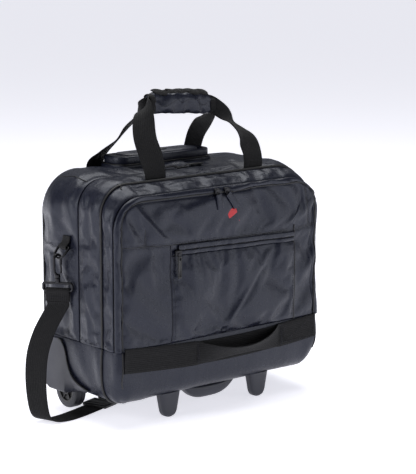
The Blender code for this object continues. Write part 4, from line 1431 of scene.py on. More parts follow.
def make_handles():
    """Front and rear carry handles; each runs up, twists and passes through the grip."""
    bar = -0.0045
    front = [
        ((-0.0990, -0.0585, 0.3700), (1, 0, 0), 0.038), ((-0.0990, -0.0565, 0.3850), (1, -0.1, 0), 0.038),
        ((-0.0995, -0.0480, 0.4070), (0.95, -0.3, 0), 0.038),
        ((-0.1015, -0.0360, 0.4340), (0.95, -0.3, 0.05), 0.0375),
        ((-0.0945, -0.0240, 0.4600), (0.93, -0.3, 0.2), 0.034),
        ((-0.0835, -0.0150, 0.4760), (0.6, -0.4, 0.6), 0.024),
        ((-0.0740, -0.0070, 0.4830), (0.1, -0.15, 0.95), 0.023),
        ((-0.0620, bar, grip_z(-0.062)), (0, -0.05, 1), 0.028),
        ((-0.0200, bar, grip_z(-0.020)), (0, 0, 1), 0.030),
        ((0.0200, bar, grip_z(0.020)), (0, 0, 1), 0.030),
        ((0.0500, bar, grip_z(0.050)), (0, 0, 1), 0.028),
        ((0.0650, -0.0120, 0.4660), (0.12, 0.1, 0.97), 0.025),
        ((0.0745, -0.0220, 0.4540), (0.35, 0.5, 0.75), 0.025),
        ((0.0815, -0.0300, 0.4420), (0.58, 0.76, 0.2), 0.029),
        ((0.0920, -0.0385, 0.4285), (0.85, 0.45, 0.05), 0.034),
        ((0.0995, -0.0460, 0.4130), (1, 0, 0), 0.038),
        ((0.1020, -0.0540, 0.3920), (1, 0, 0), 0.038), ((0.0990, -0.0585, 0.3700), (1, 0, 0), 0.038),
    ]
    rear = [
        ((-0.0990, 0.0955, 0.3690), (1, 0, 0), 0.038), ((-0.0985, 0.0950, 0.3830), (1, 0.1, 0), 0.036),
        ((-0.0900, 0.0850, 0.4000), (0.8, 0.55, -0.2), 0.030),
        ((-0.0800, 0.0600, 0.4230), (0.62, 0.74, -0.1), 0.027),
        ((-0.0770, 0.0350, 0.4470), (0.8, 0.2, 0.3), 0.031),
        ((-0.0745, 0.0160, 0.4660), (0.5, -0.1, 0.75), 0.026),
        ((-0.0620, 0.0042, grip_z(-0.062)), (0, 0.05, 1), 0.022),
        ((-0.0200, 0.0034, grip_z(-0.020)), (0, 0, 1), 0.023),
        ((0.0200, 0.0034, grip_z(0.020)), (0, 0, 1), 0.023),
        ((0.0540, 0.0050, grip_z(0.054)), (0, 0, 1), 0.022),
        ((0.0660, 0.0160, 0.4610), (0.55, -0.1, 0.7), 0.026),
        ((0.0780, 0.0350, 0.4480), (0.93, -0.3, 0.1), 0.034),
        ((0.0900, 0.0620, 0.4300), (0.95, -0.3, 0.05), 0.038),
        ((0.0975, 0.0850, 0.4080), (1, -0.05, 0), 0.038),
        ((0.0990, 0.0955, 0.3850), (1, 0, 0), 0.038), ((0.0990, 0.0955, 0.3690), (1, 0, 0), 0.038),
    ]
    place(
        strip("front_carry_handle", twisting(front, 8), WEBBING, 0.0021, curl=0.0006), "front_half",
        "webbing", "front_handle"
    )
    place(
        strip("rear_carry_handle", twisting(rear, 8), WEBBING, 0.0021, curl=0.0006), "case", "webbing",
        "rear_handle"
    )


def make_wrap():
    """Padded grip round the front handle, bound in black, with its opening to the rear."""
    def profile(size):
        """Section (y, z) of a soft C whose ends face the rear."""
        points = []
        for k in range(29):
            angle = math.radians(38 + 284 * k / 28)
            reach_y = math.copysign(abs(math.cos(angle)) ** 0.75, math.cos(angle))
            reach_z = math.copysign(abs(math.sin(angle)) ** 0.75, math.sin(angle))
            points.append((-0.0018 + 0.0102 * size * reach_y, 0.0170 * size * reach_z))
        return points

    rows = []
    length = 41
    for i in range(length + 1):
        t = i / length
        x = GRIP_LEFT + GRIP_LENGTH * t
        end = min(t, 1 - t)
        size = 1.0 - 0.10 * math.exp(-(end / 0.05) ** 2)
        droop = 1 - 0.50 * math.exp(-((1 - t) / 0.075) ** 2) - 0.18 * math.exp(-(t / 0.05) ** 2)
        rows.append([
            Vector((x, y, grip_z(x) + (z * droop if z > 0 else z) + 0.0012 * math.sin(math.pi * t)))
            for y, z in profile(size)
        ])
    wrap = grid("grip_wrap", rows, FABRIC)
    outward(wrap, (0, 0, 0.479))
    soften(
        wrap, [((-0.06, -0.0120, grip_z(-0.06)), (0.055, -0.0120, grip_z(0.055)), 0.0022, -0.0010)],
        0.0009, 60.0, 3
    )
    simulate(
        wrap, lambda p: np.where((np.abs(p[:, 0] + 0.005) > 0.059) | (p[:, 1] > 0.003), 1.0, 0.0), 0.03,
        0.8, cap=0.0016
    )
    tree = surface_of(wrap)
    edges = [[row[0] for row in rows], [row[-1] for row in rows]]
    modify(wrap, "SUBSURF", levels=1, render_levels=1)
    modify(wrap, "SOLIDIFY", thickness=0.0026, offset=-1)
    apply_all(wrap)
    place(wrap, "front_half", "coated_fabric", "handle_wrap")
    for label, path in (("left", rows[1]), ("right", rows[-2])):
        ring = laid_on(tree, path, 0.0004)
        stations = []
        for i, point in enumerate(ring):
            stations.append((point, (1, 0, 0), 0.0105))
        place(
            strip("grip_binding_" + label, stations, WEBBING, 0.0016, curl=-0.0006), "front_half",
            "webbing"
        )
    for label, path in (("top", edges[0]), ("low", edges[1])):
        run = [Vector(p) for p in path]
        place(tube("grip_binding_" + label, run, 0.0022, TRIM), "front_half", "webbing")
    crown = laid_on(
        tree,
        [
            Vector((-0.068 + 0.126 * k / 40, -0.006, grip_z(-0.068 + 0.126 * k / 40) + 0.03))
            for k in range(41)
        ],
        0.0006
    )
    place(
        strip(
            "grip_binding_crown", [(p, (0, 0.75, 0.66), 0.0120) for p in crown], WEBBING, 0.0016,
            curl=-0.0012
        ),
        "front_half", "webbing"
    )
    run = laid_on(
        tree,
        [
            Vector((-0.058 + 0.108 * k / 40, -0.03, grip_z(-0.058 + 0.108 * k / 40) + 0.001))
            for k in range(41)
        ],
        0.0001
    )
    stitches("grip_stitches", run, "front_half", pitch=0.0034, length=0.0026)


def make_collar():
    """Two soft layers of fabric round the trolley tubes, with a dark joint between them."""
    def layer(name, half_x, y0, y1, z0, z1, radius):
        shape = bmesh.new()
        bmesh.ops.create_cube(shape, size=1.0)
        bmesh.ops.scale(shape, vec=(2 * half_x, y1 - y0, z1 - z0), verts=shape.verts)
        bmesh.ops.translate(shape, vec=(0, (y0 + y1) / 2, (z0 + z1) / 2), verts=shape.verts)
        upright = [edge for edge in shape.edges if abs(edge.verts[0].co.z - edge.verts[1].co.z) > 0.001]
        bmesh.ops.bevel(shape, geom=upright, offset=radius, segments=6, affect="EDGES", profile=0.5)
        rims = [
            edge
            for edge in shape.edges if abs(
                edge.verts[0].co.z - edge.verts[1].co.z
            ) < 1e-5 and len(edge.link_faces) == 2
        ]
        bmesh.ops.bevel(
            shape, geom=rims, offset=min(0.0026, (z1 - z0) * 0.42), segments=3, affect="EDGES",
            profile=0.5
        )
        made = from_bmesh(name, shape, FABRIC)
        for side, _ in SIDES:
            boolean(
                made,
                rod("hole", (side * TUBE_X, TUBE_Y, 0.36), (side * TUBE_X, TUBE_Y, 0.40), 0.0086, FABRIC)
            )
        made.data.shade_smooth()
        made.data.set_sharp_from_angle(angle=math.radians(45))
        return made

    low = layer("collar_low", 0.1000, 0.0370, 0.0925, 0.3735, 0.3822, 0.018)
    top = layer("collar_top", 0.0955, 0.0375, 0.0915, 0.3822, 0.3952, 0.019)
    boolean(top, block("nest", (-0.0792, 0.0412, 0.3850), (0.0792, 0.0888, 0.42), FABRIC, 0.006, 4))
    top.data.shade_smooth()
    top.data.set_sharp_from_angle(angle=math.radians(45))
    place(low, "case", "coated_fabric", "trolley_collar")
    place(top, "case", "coated_fabric")
    for label, half_x, y0, y1, z, radius in (
        ("low", 0.1000, 0.0370, 0.0925, 0.3752, 0.018), ("top", 0.0962, 0.0370, 0.0920, 0.3822, 0.019)
    ):
        points = []
        for cx, cy, start in (
            (half_x - radius, y1 - radius, 0), (-half_x + radius, y1 - radius, 1),
            (-half_x + radius, y0 + radius, 2), (half_x - radius, y0 + radius, 3)
        ):
            for k in range(9):
                angle = math.pi / 2 * (start + k / 8)
                points.append(Vector((cx + radius * math.cos(angle), cy + radius * math.sin(angle), z)))
        place(tube("collar_piping_" + label, points, 0.0012, TRIM, closed=True), "case", "webbing")


def make_trolley():
    """Moulded grip with its release button; the tubes below it stay as CAD parts."""
    shape = bmesh.new()
    bmesh.ops.create_cube(shape, size=1.0)
    bmesh.ops.scale(shape, vec=(0.153, 0.042, 0.0128), verts=shape.verts)
    bmesh.ops.translate(shape, vec=(0, 0.065, 0.3912), verts=shape.verts)
    upright = [edge for edge in shape.edges if abs(edge.verts[0].co.z - edge.verts[1].co.z) > 0.001]
    bmesh.ops.bevel(shape, geom=upright, offset=0.0150, segments=7, affect="EDGES", profile=0.5)
    rims = [
        edge
        for edge in shape.edges if abs(
            edge.verts[0].co.z - edge.verts[1].co.z
        ) < 1e-5 and len(edge.link_faces) == 2
    ]
    bmesh.ops.bevel(shape, geom=rims, offset=0.0052, segments=5, affect="EDGES", profile=0.5)
    grip = from_bmesh("trolley_handle", shape, MOULDED)
    boolean(grip, block("well", (-0.0163, 0.0567, 0.3930), (0.0163, 0.0733, 0.41), MOULDED, 0.002))
    for side, _ in SIDES:
        for row in range(4):
            x = side * (0.030 + 0.0075 * row)
            boolean(
                grip,
                block("rib", (x - 0.0011, 0.050, 0.3968), (x + 0.0011, 0.080, 0.41), MOULDED, 0.0005, 1)
            )
    grip.data.shade_smooth()
    grip.data.set_sharp_from_angle(angle=math.radians(40))
    place(grip, "trolley_upper", "moulded_plastic", "trolley_grip")
    button = block(
        "release_button", (-0.0160, 0.0570, 0.3945), (0.0160, 0.0730, 0.3995), BLACK, 0.0022, 4
    )
    for row in range(5):
        x = -0.0080 + 0.0040 * row
        boolean(button, block("rib", (x - 0.0006, 0.0595, 0.3990), (x + 0.0006, 0.0705, 0.41), BLACK))
    place(button, "trolley_release", "black_plastic", "trolley_button")


# ---- Running gear -------------------------------------------------------------------

def rounded_copy(node, name, look, voxel, passes=3):
    """A moulded version of a CAD node: the same shape with its edges eased."""
    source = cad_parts[node]
    made = bpy.data.objects.new(name, source.data.copy())
    bpy.context.scene.collection.objects.link(made)
    made.data.transform(source.matrix_world)
    made.data.materials.clear()
    made.data.materials.append(look)
    modify(made, "REMESH", mode="VOXEL", voxel_size=voxel, use_smooth_shade=True)
    modify(made, "SMOOTH", factor=0.5, iterations=passes)
    apply_all(made)
    modify(made, "DECIMATE", ratio=0.45)
    apply_all(made)
    made.data.shade_smooth()
    return made


def lathe(name, profile, centre, side, look, sides=64):
    """Turns (offset along the axle, radius) round the wheel's axis."""
    rows = []
    for k in range(sides):
        angle = 2 * math.pi * k / sides
        rows.append([
            Vector(
                (
                    centre.x + side * offset, centre.y + radius * math.cos(angle),
                    centre.z + radius * math.sin(angle)
                )
            )
            for offset, radius in profile
        ])
    rows.append(rows[0])
    shape = bmesh.new()
    made = [[shape.verts.new(point) for point in row] for row in rows[:-1]]
    count = len(profile)
    for a in range(sides):
        b = (a + 1) % sides
        for c in range(count):
            d = (c + 1) % count
            if (
                made[a][c].co - made[b][c].co
            ).length < 1e-7 and (made[a][d].co - made[b][d].co).length < 1e-7:
                continue
            shape.faces.new((made[a][c], made[a][d], made[b][d], made[b][c]))
    return from_bmesh(name, shape, look, sharp=35)


def guard_tuck(y, z):
    """How far the front tongue of a guard leans in to follow the rounded base."""
    inset = np.interp(
        z, [0.0364, 0.0375, 0.0405, 0.0455, 0.0520, 0.0600, 0.0690],
        [0.0260, 0.0200, 0.0132, 0.0078, 0.0034, 0.0008, 0.0]
    )
    return inset * np.clip((0.0340 - y) / 0.016, 0, 1)


def make_guard(side, name):
    """Moulded corner: an S-fronted plate, the wheel housing behind it and its bearing lug."""
    def slab(label, outline, inner, outer):
        shape = bmesh.new()
        face = shape.faces.new([shape.verts.new(Vector((side * inner, y, z))) for y, z in outline])
        made = bmesh.ops.extrude_face_region(shape, geom=[face])
        moved = [item for item in made["geom"] if isinstance(item, bmesh.types.BMVert)]
        bmesh.ops.translate(shape, vec=(side * (outer - inner), 0, 0), verts=moved)
        return from_bmesh(label, shape, MOULDED)

    heel = [
        (0.1092, 0.1205), (0.1092, 0.0740), (0.1040, 0.0570), (0.0925, 0.0430), (0.0760, 0.0345),
        (0.0300, 0.0352), (0.0050, 0.0390)
    ]
    guard = slab("corner_guard_" + name, guard_curve() + heel, GUARD_INNER_X, GUARD_OUTER_X)
    housing = [
        (0.0300, 0.0400), (0.0440, 0.0600), (0.0560, 0.0870), (0.1086, 0.0870), (0.1086, 0.0742),
        (0.1036, 0.0573), (0.0922, 0.0434), (0.0760, 0.0352), (0.0300, 0.0352)
    ]
    boolean(guard, slab("housing", housing, HOUSING_X, 0.2060), "UNION")
    xs = sorted((side * 0.2070, side * 0.1530))
    boolean(guard, block("wrap", (xs[0], 0.1010, 0.0800), (xs[1], 0.1088, 0.1200), MOULDED), "UNION")
    boolean(
        guard,
        rod(
            "well", (side * 0.1900, WHEEL_Y, WHEEL_R), (side * 0.1640, WHEEL_Y, WHEEL_R),
            WHEEL_R + 0.0045, MOULDED, 48
        )
    )
    xs = sorted((side * 0.1635, side * 0.1530))
    boolean(guard, block("lug", (xs[0], 0.053, 0.020), (xs[1], 0.075, 0.050), MOULDED), "UNION")
    modify(guard, "REMESH", mode="VOXEL", voxel_size=0.0010, use_smooth_shade=True)
    modify(guard, "SMOOTH", factor=0.5, iterations=5)
    apply_all(guard)
    points = coords_of(guard)
    points[:, 0] -= side * guard_tuck(points[:, 1], points[:, 2])
    set_coords(guard, points)
    modify(guard, "DECIMATE", ratio=0.4)
    apply_all(guard)
    guard.data.shade_smooth()
    return guard


def make_wheels():
    half = 0.0100
    for side, name in SIDES:
        centre = Vector((side * WHEEL_X, WHEEL_Y, WHEEL_R))
        tyre = lathe("tyre_rubber_" + name, [
            (-half, 0.0203), (-half, 0.0262), (-half + 0.0012, 0.0282), (-half + 0.0034, WHEEL_R),
            (-0.0016, WHEEL_R),
            (-0.0010, 0.0283), (0.0010, 0.0283), (0.0016, WHEEL_R), (half - 0.0034, WHEEL_R),
            (half - 0.0012, 0.0282),
            (half, 0.0262), (half, 0.0203),
        ], centre, side, RUBBER, 80)
        place(tyre, "wheel_" + name, "wheel_rubber", "tyre_" + name)
        core = lathe("wheel_hub_" + name, [
            (-half, 0.0034), (-half, 0.0070), (-0.0060, 0.0080), (-0.0060, 0.0165), (-half, 0.0175),
            (-half, 0.0201),
            (half, 0.0201), (half, 0.0172), (0.0072, 0.0164), (0.0060, 0.0080), (half, 0.0072),
            (half, 0.0034),
        ], centre, side, BLACK, 64)
        ribs = []
        for k in range(6):
            angle = math.pi * k / 3
            rib = block("rib", (-0.0090, 0.0065, -0.0011), (0.0090, 0.0170, 0.0011), BLACK, 0.0004, 1)
            rib.data.transform(Matrix.Translation(centre) @ Matrix.Rotation(angle, 4, "X"))
            ribs.append(rib)
        hub = join("wheel_core_" + name + "_ribbed", [core] + ribs)
        hub.data.set_sharp_from_angle(angle=math.radians(35))
        place(hub, "wheel_" + name, "black_plastic", "wheel_core_" + name)
        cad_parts["axle_" + name].data.materials.clear()
        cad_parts["axle_" + name].data.materials.append(METAL)

        place(make_guard(side, name), "case", "moulded_plastic", "wheel_housing_" + name)
        # Black tube along the guard's S-shaped front edge: painted shade for the dark gap between the
        # guard and the fabric.
        lip = [
            Vector((side * (0.2104 - float(guard_tuck(y, z))), y - 0.0006, z)) for y,
            z in guard_curve()[1:]
        ]
        place(tube("guard_gap_shade_" + name, lip, 0.0012, TRIM), "case", "black_plastic")
        screw = rod(
            "guard_screw_" + name, (side * 0.2088, 0.0810, 0.0910), (side * 0.2104, 0.0810, 0.0910),
            0.0036, METAL, 24, 0.0006
        )
        boolean(
            screw,
            block(
                "slot", (side * 0.2110 - 0.0012, 0.0782, 0.0904),
                (side * 0.2110 + 0.0012, 0.0838, 0.0916), METAL
            )
        )
        place(screw, "case", "blackened_metal")
        rivet = rod(
            "guard_rivet_" + name, (side * 0.2088, 0.0985, 0.1135), (side * 0.2104, 0.0985, 0.1135),
            0.0030, METAL, 24, 0.0008
        )
        place(rivet, "case", "blackened_metal")


def make_feet():
    for side, name in SIDES:
        rows = []
        for k in range(26):
            t = k / 25
            z = 0.0395 * t
            round_end = math.sqrt(max(0.0, 1 - (1 - min(1.0, z / 0.0115)) ** 2))
            half_x = 0.0128 + 0.0070 * t
            if z < 0.0115:
                half_x = half_x * (0.30 + 0.70 * round_end)
            half_y = 0.0066 + 0.0022 * t if z > 0.003 else 0.0066 * (0.75 + 0.25 * z / 0.003)
            row = []
            for m in range(40):
                angle = 2 * math.pi * (m + 0.5) / 40
                row.append(Vector((
                    side * 0.092 + half_x * math.copysign(abs(math.cos(angle)) ** 0.42, math.cos(angle)),
                    -0.077 + half_y * math.copysign(abs(math.sin(angle)) ** 0.42, math.sin(angle)), z,
                )))
            rows.append(row)
        shape = bmesh.new()
        made = [[shape.verts.new(point) for point in row] for row in rows]
        for first, second in zip(made, made[1:]):
            for c in range(40):
                d = (c + 1) % 40
                shape.faces.new((first[c], first[d], second[d], second[c]))
        shape.faces.new(made[0][::-1])
        shape.faces.new(made[-1])
        place(
            from_bmesh("base_foot_" + name, shape, MOULDED, sharp=50), "case", "moulded_plastic",
            "foot_" + name
        )


def make_bottom_grip():
    """Crescent-shaped moulded lip between the feet, closed up to the base."""
    rows = []
    for k in range(61):
        t = -1 + k / 30
        x = 0.0555 * t
        low = 0.0125 + 0.0275 * abs(t) ** 3.2
        high = min(0.0400, 0.0345 + 0.0060 * abs(t) ** 3)
        lean = 0.004 * (1 - t * t)
        row = []
        for m in range(20):
            angle = 2 * math.pi * m / 20
            c = math.copysign(abs(math.cos(angle)) ** 0.6, math.cos(angle))
            s = math.copysign(abs(math.sin(angle)) ** 0.6, math.sin(angle))
            row.append(
                Vector(
                    (
                        x, -0.0620 - lean * s + 0.0105 * c * (1 - 0.3 * t * t),
                        (low + high) / 2 + (high - low) / 2 * s
                    )
                )
            )
        rows.append(row)
    shape = bmesh.new()
    made = [[shape.verts.new(point) for point in row] for row in rows]
    for first, second in zip(made, made[1:]):
        for c in range(20):
            d = (c + 1) % 20
            shape.faces.new((first[c], first[d], second[d], second[c]))
    shape.faces.new(made[0][::-1])
    shape.faces.new(made[-1])
    place(from_bmesh("pull_grip", shape, MOULDED, sharp=60), "case", "black_plastic", "bottom_grip")


# ---- Zip pulls, tag and rings -------------------------------------------------------

def make_pulls():
    """Sliders and pulls: metal sliders throughout; on the main zip one metal and one black plastic pull,
    two cloth pulls on the front, one black plastic pull on the pocket.
    """
    for side, name in SIDES:
        xs = sorted((side * 0.0006, side * 0.0110))
        slider = block(
            "zip_slider_main_" + name, (xs[0], -0.0032, 0.3743), (xs[1], 0.0062, 0.3768), METAL, 0.0011, 3
        )
        bridge = block(
            "bridge", (min(side * 0.003, side * 0.0100), 0.0004, 0.3760),
            (max(side * 0.003, side * 0.0100), 0.0026, 0.3776), METAL, 0.0006, 2
        )
        place(
            join("main_zip_slider_" + name, [slider, bridge]), "main_zip_" + name, "blackened_metal",
            "main_slider_" + name
        )
        xs = sorted((side * 0.0114, side * 0.0440))
        look = BLACK if side > 0 else METAL
        puller = block(
            "main_zip_pull_" + name, (xs[0], -0.0028, 0.3779), (xs[1], 0.0052, 0.3797), look, 0.0008, 3
        )
        boolean(
            puller,
            block(
                "eye", (min(side * 0.0128, side * 0.0170), -0.0008, 0.37),
                (max(side * 0.0128, side * 0.0170), 0.0032, 0.39), look, 0.0008, 1
            )
        )
        place(puller, "main_pull_" + name, "blackened_metal", "main_puller_" + name)

        middle = FRONT_SLIDER_X[name]
        xs = (middle - 0.0050, middle + 0.0050)
        body = block(
            "body", (xs[0], FRONT_Y - 0.0040, 0.3468), (xs[1], FRONT_Y + 0.0020, 0.3548), METAL, 0.0012, 3
        )
        eye = [
            Vector((middle + 0.0026 * math.cos(a), FRONT_Y - 0.0048, 0.3468 + 0.0030 * math.sin(a)))
            for a in [math.pi * 2 * k / 20 for k in range(20)]
        ]
        ring = tube("ring", eye, 0.0007, METAL, closed=True)
        place(
            join("front_zip_slider_" + name, [body, ring]), "front_zip_" + name, "blackened_metal",
            "front_slider_" + name
        )
        slant = 0.0040 if side < 0 else 0.0178
        stations = []
        for k in range(15):
            t = k / 14
            stations.append((
                (
                    middle + slant * t, FRONT_Y - 0.0056 - 0.0006 * math.sin(math.pi * t),
                    0.3460 - 0.0226 * t
                ),
                (1, 0, 0), 0.0112 + 0.0010 * t,
            ))
        pull = strip("front_zip_pull_" + name, stations, FABRIC, 0.0018)
        place(pull, "front_pull_" + name, "coated_fabric", "front_puller_" + name)
        for edge in (-1, 1):
            run = [Vector(s[0]) + Vector((edge * 0.0036, -0.0010, 0)) for s in stations[1:-1]]
            stitches(
                "front_pull_stitches_%s_%s" % (name, "a" if edge < 0 else "b"), run, "front_pull_" + name,
                pitch=0.0026, length=0.0019, radius=0.00025
            )

    face = FRONT_Y - 0.0030
    slider = block(
        "body", (-0.0990, face - 0.0038, 0.2600), (-0.0870, face - 0.0002, 0.2685), METAL, 0.0013, 3
    )
    bridge = block(
        "bridge", (-0.0955, face - 0.0052, 0.2585), (-0.0905, face - 0.0030, 0.2650), METAL, 0.0008, 2
    )
    place(join("pocket_zip_slider", [slider, bridge]), "pocket_zip", "blackened_metal", "pocket_slider")
    puller = block(
        "pocket_zip_pull", (-0.0965, face - 0.0066, 0.2250), (-0.0895, face - 0.0044, 0.2597), BLACK,
        0.0009, 3
    )
    boolean(
        puller,
        block(
            "grip", (-0.0950, face - 0.0080, 0.2285), (-0.0910, face - 0.0061, 0.2500), BLACK, 0.0004, 1
        )
    )
    boolean(puller, block("eye", (-0.0945, face - 0.0080, 0.2545), (-0.0915, face, 0.2575), BLACK))
    place(puller, "pocket_pull", "black_plastic", "pocket_puller")


def make_tag():
    """Plain red tag on a black tab that hangs between the front pulls; the tab runs on down behind the
    tag, where it is painted shadow beneath the tag.
    """
    outline = [(0.0030, 0.3222), (0.0245, 0.3210), (0.0328, 0.2995), (0.0129, 0.2986)]
    shape = bmesh.new()
    face = shape.faces.new([shape.verts.new(Vector((x, FRONT_Y - 0.0012, z))) for x, z in outline])
    made = bmesh.ops.extrude_face_region(shape, geom=[face])
    bmesh.ops.translate(
        shape, vec=(0, -0.0028, 0), verts=[v for v in made["geom"] if isinstance(v, bmesh.types.BMVert)]
    )
    sides = [e for e in shape.edges if abs(e.verts[0].co.y - e.verts[1].co.y) > 0.001]
    bmesh.ops.bevel(shape, geom=sides, offset=0.0022, segments=4, affect="EDGES", profile=0.5)
    rims = [e for e in shape.edges if all(v.co.y < FRONT_Y - 0.0035 for v in e.verts)]
    bmesh.ops.bevel(shape, geom=rims, offset=0.0009, segments=3, affect="EDGES", profile=0.5)
    place(from_bmesh("red_pull_tag", shape, RED, sharp=45), "front_cover", "red_tag", "zip_tag")
    # Above the tag the tab is the strip the tag hangs from; its lower part behind the tag is painted
    # shadow beneath the tag.
    tab = [
        ((0.0090 + 0.0070 * t, FRONT_Y - 0.0016, 0.3440 - 0.0400 * t), (1, 0, 0.06), 0.0150)
        for t in [k / 8 for k in range(9)]
    ]
    place(strip("tag_tab_and_shadow", tab, WEBBING, 0.0012), "front_cover", "webbing")


def make_clips():
    """On each side: D-ring, snap hook with its gate, web loop, stitched strap end and ring tab."""
    for side, name in SIDES:
        top = Vector((side * RING_X, CHAIN_Y, RING_Z))
        down = Vector((side * CHAIN_X, CHAIN_Y, RING_LOW_Z)) - top
        along = Vector((0, 1, 0))
        half = 0.0130
        points = [top - half * along, top - half / 3 * along, top + half / 3 * along, top + half * along]
        for k in range(1, 30):
            angle = math.pi * k / 30
            reach = math.copysign(abs(math.cos(angle)) ** 0.6, math.cos(angle))
            points.append(top + half * reach * along + down * math.sin(angle) ** 0.6)
        place(
            tube("dee_ring_" + name, points, 0.0019, METAL, closed=True), "ring_" + name,
            "blackened_metal", "d_ring_" + name
        )

        def at(out, z):
            return Vector((side * (CHAIN_X + out), CHAIN_Y, z))
        bend_z = RING_LOW_Z + 0.0020 + 0.0004 + WIRE - HOOK_R
        low = smooth_path(
            [
                at(0.0, 0.2272), at(0.0030, 0.2290), at(0.0056, 0.2325), at(HOOK_R, 0.2370),
                at(HOOK_R, bend_z)
            ],
            5
        )
        bend = [
            at(HOOK_R * math.cos(math.pi * k / 18), bend_z + HOOK_R * math.sin(math.pi * k / 18))
            for k in range(1, 18)
        ]
        hook = tube("snap", low + bend + [at(-HOOK_R, bend_z), at(-HOOK_R, 0.2425)], WIRE * 0.92, METAL)
        barrel = rod("barrel", at(0, 0.2235), at(0, 0.2285), 0.0044, METAL, 28, 0.0008)
        place(
            join("snap_hook_" + name, [hook, barrel]), "hook_" + name, "blackened_metal", "hook_" + name
        )
        gate = tube(
            "snap_gate_" + name,
            smooth_path([at(-0.0064, 0.2292), at(-0.0068, 0.2340), at(-HOOK_R, 0.2420)], 6), 0.0016, METAL
        )
        place(gate, "gate_" + name, "blackened_metal", "hook_gate_" + name)

        across = Vector((-side * 0.6, -0.8, 0.0))
        centre = Vector((side * CHAIN_X, CHAIN_Y, 0.2090))
        half, tall, bend = 0.0232, 0.0058, 0.0034
        points = []
        for corner, (sign_a, sign_z) in enumerate(((1, -1), (1, 1), (-1, 1), (-1, -1))):
            for k in range(8):
                angle = (corner - 1) * math.pi / 2 + math.pi / 2 * k / 7
                reach_a = sign_a * (half - bend) + bend * math.cos(angle)
                reach_z = sign_z * (tall - bend) + bend * math.sin(angle)
                points.append(centre + reach_a * across + reach_z * Vector((0, 0, 1)))
        loop = tube("loop", points, 0.0021, METAL, closed=True)
        stem = rod(
            "stem", (centre.x, centre.y, 0.2148), (centre.x, centre.y, 0.2230), 0.0041, METAL, 28, 0.0008
        )
        place(
            join("web_loop_" + name, [loop, stem]), "clip_" + name, "blackened_metal",
            "strap_loop_" + name
        )

        low_bar = centre - Vector((0, 0, tall))
        normal = across.cross(Vector((0, 0, 1)))
        fold = []
        bottom = Vector((0, 0, STRAP_END_Z - low_bar.z))
        fold.append(low_bar - 0.0010 * normal + bottom)
        fold.append(low_bar - 0.0014 * normal + bottom * 0.5)
        for k in range(17):
            angle = math.radians(-150 - 240 * k / 16)
            fold.append(
                low_bar + 0.0036 * (math.cos(angle) * normal + math.sin(angle) * Vector((0, 0, 1)))
            )
        fold.append(low_bar + 0.0014 * normal + bottom * 0.5)
        fold.append(low_bar + 0.0010 * normal + bottom)
        stations = [(point, across, WEB_W) for point in fold]
        place(
            strip("strap_fold_" + name, stations, WEBBING, 0.0017), "clip_" + name, "webbing",
            "strap_end_" + name
        )
        for sign in (-1, 1):
            run = [
                low_bar + bottom * 0.62 + across * (WEB_W * 0.44 * (k / 10 - 1)) + sign * 0.0026 * normal
                for k in range(21)
            ]
            stitches(
                "strap_fold_stitches_%s_%s" % (name, "a" if sign < 0 else "b"), run, "clip_" + name,
                "webbing", 0.0026, 0.0019
            )

        out = side * 0.2080
        tab = [
            (Vector((out + side * 0.0008, CHAIN_Y, 0.2865)), (0, 1, 0), 0.0190),
            (Vector((out + side * 0.0018, CHAIN_Y, 0.2800)), (0, 1, 0), 0.0190),
            (Vector((out + side * 0.0050, CHAIN_Y, 0.2745)), (0, 1, 0), 0.0190),
        ]
        for k in range(9):
            angle = math.radians(70 - 200 * k / 8)
            tab.append(
                (
                    Vector(
                        (
                            side * RING_X + side * 0.0034 * math.cos(angle), CHAIN_Y,
                            RING_Z + 0.0034 * math.sin(angle)
                        )
                    ),
                    (0, 1, 0), 0.0190
                )
            )
        tab.append((Vector((out + side * 0.0010, CHAIN_Y, 0.2665)), (0, 1, 0), 0.0190))
        place(
            strip("ring_tab_webbing_" + name, tab, WEBBING, 0.0016), "case", "webbing", "ring_tab_" + name
        )


# ---- Inside -------------------------------------------------------------------------

def make_inside():
    """Padded laptop sleeve with its binding, and the lining wall of the front section."""
    sleeve = rounded_copy("laptop_sleeve", "padded_sleeve", LINING, 0.0018, 2)
    place(sleeve, "case", "lining", "laptop_sleeve")
    edge = [Vector((-0.190 + 0.380 * k / 40, 0.0160, 0.3452)) for k in range(41)]
    place(tube("sleeve_binding", edge, 0.0022, TRIM), "case", "webbing")
    divider = rounded_copy("divider_panel", "lining_wall", LINING, 0.0012, 1)
    place(divider, "front_half", "lining", "divider_panel")


def dress_cad():
    """Procedural finish for every CAD node that stays in sight."""
    for name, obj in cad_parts.items():
        if obj.hide_render:
            continue
        if "bracket" in name:
            look = BLACK
        elif "board" in name:
            look = BOARD
        elif "tube" in name:
            look = TUBE
        else:
            look = METAL
        obj.data.materials.clear()
        obj.data.materials.append(look)


# ---- Camera, light and floor --------------------------------------------------------

CAMERA_PLACE = (-1.70748, -2.09968, 0.77574)
CAMERA_LOOK = (0.63153, 0.75263, -0.18633)
CAMERA_LENS = 130.4      # mm, on a sensor 36 mm wide
FLOOR_HALF = 60.0
FLOOR_COLOUR = (0.86, 0.86, 0.90)
LIGHTS = (               # name, place, aim, watts, size
    ("left_bank", (-2.6, 0.3, 1.1), (0, 0, 0.2), 27, (1.3, 1.6)),
    ("right_bank", (1.7, -2.2, 0.5), (0.1, 0, 0.1), 9, (1.2, 1.4)),
    ("overhead", (0.3, 0.6, 2.6), (0, 0, 0.0), 68, (2.6, 2.6)),
)


def make_camera():
    """Camera at the reference view, from the front left and a little above."""
    camera = bpy.data.cameras.new("camera")
    camera.lens = CAMERA_LENS
    camera.sensor_width = 36.0
    camera.clip_end = 50.0
    obj = bpy.data.objects.new("camera", camera)
    bpy.context.scene.collection.objects.link(obj)
    obj.location = CAMERA_PLACE
    obj.rotation_euler = Vector(CAMERA_LOOK).to_track_quat("-Z", "Y").to_euler()
    bpy.context.scene.camera = obj


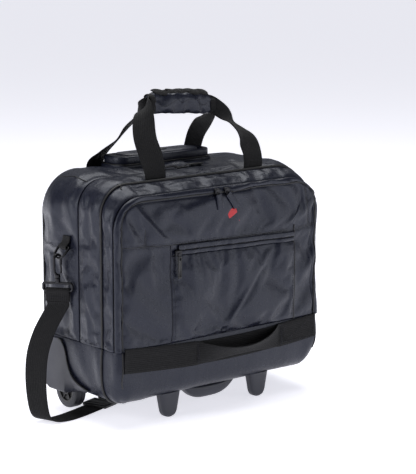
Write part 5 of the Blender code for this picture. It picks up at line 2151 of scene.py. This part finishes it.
def make_light(name, place_at, aim, energy, size):
    light = bpy.data.lights.new(name, "AREA")
    light.energy = energy
    light.shape = "RECTANGLE"
    light.size, light.size_y = size
    obj = bpy.data.objects.new(name, light)
    bpy.context.scene.collection.objects.link(obj)
    obj.location = place_at
    obj.rotation_euler = (Vector(aim) - Vector(place_at)).to_track_quat("-Z", "Y").to_euler()


def make_studio():
    """White floor and paper with a dim room, so that only the lights shape the dark cloth."""
    floor = block("floor", (-FLOOR_HALF, -FLOOR_HALF, -0.02), (FLOOR_HALF, FLOOR_HALF, 0.0), [])
    look, tree, shader = node_material(
        "floor", FLOOR_COLOUR, 0.75, Emission_Color=(0.93, 0.93, 1.0, 1.0), Emission_Strength=0.72,
    )
    haze = noise_node(tree, coordinates(tree), 3.0, 2.0)
    tree.links.new(tint(tree, FLOOR_COLOUR, 0.995, 1.005, haze), shader.inputs["Base Color"])
    floor.data.materials.append(look)
    world = bpy.data.worlds.new("studio")
    bpy.context.scene.world = world
    world.use_nodes = True
    tree = world.node_tree
    paper = tree.nodes["Background"]
    paper.inputs["Color"].default_value = (1.0, 1.0, 1.0, 1.0)
    paper.inputs["Strength"].default_value = 1.05
    room = add_node(tree, "ShaderNodeBackground", [("Color", (0.92, 0.94, 1.0, 1.0)), ("Strength", 0.17)])
    seen = add_node(tree, "ShaderNodeLightPath").outputs["Is Camera Ray"]
    mixed = add_node(
        tree, "ShaderNodeMixShader", [(0, seen), (1, room.outputs[0]), (2, paper.outputs[0])]
    )
    tree.links.new(mixed.outputs[0], tree.nodes["World Output"].inputs["Surface"])
    bpy.context.scene.view_settings.view_transform = "Standard"
    for row in LIGHTS:
        make_light(*row)


make_camera()
make_strap()
make_adjuster()
TREES = make_panels()
make_piping(TREES)
make_zips()
make_pocket(TREES)
make_seam_rows(TREES)
make_grab_band(TREES)
make_handles()
make_wrap()
make_collar()
make_trolley()
make_wheels()
make_feet()
make_bottom_grip()
make_pulls()
make_tag()
make_clips()
make_inside()
dress_cad()
make_studio()
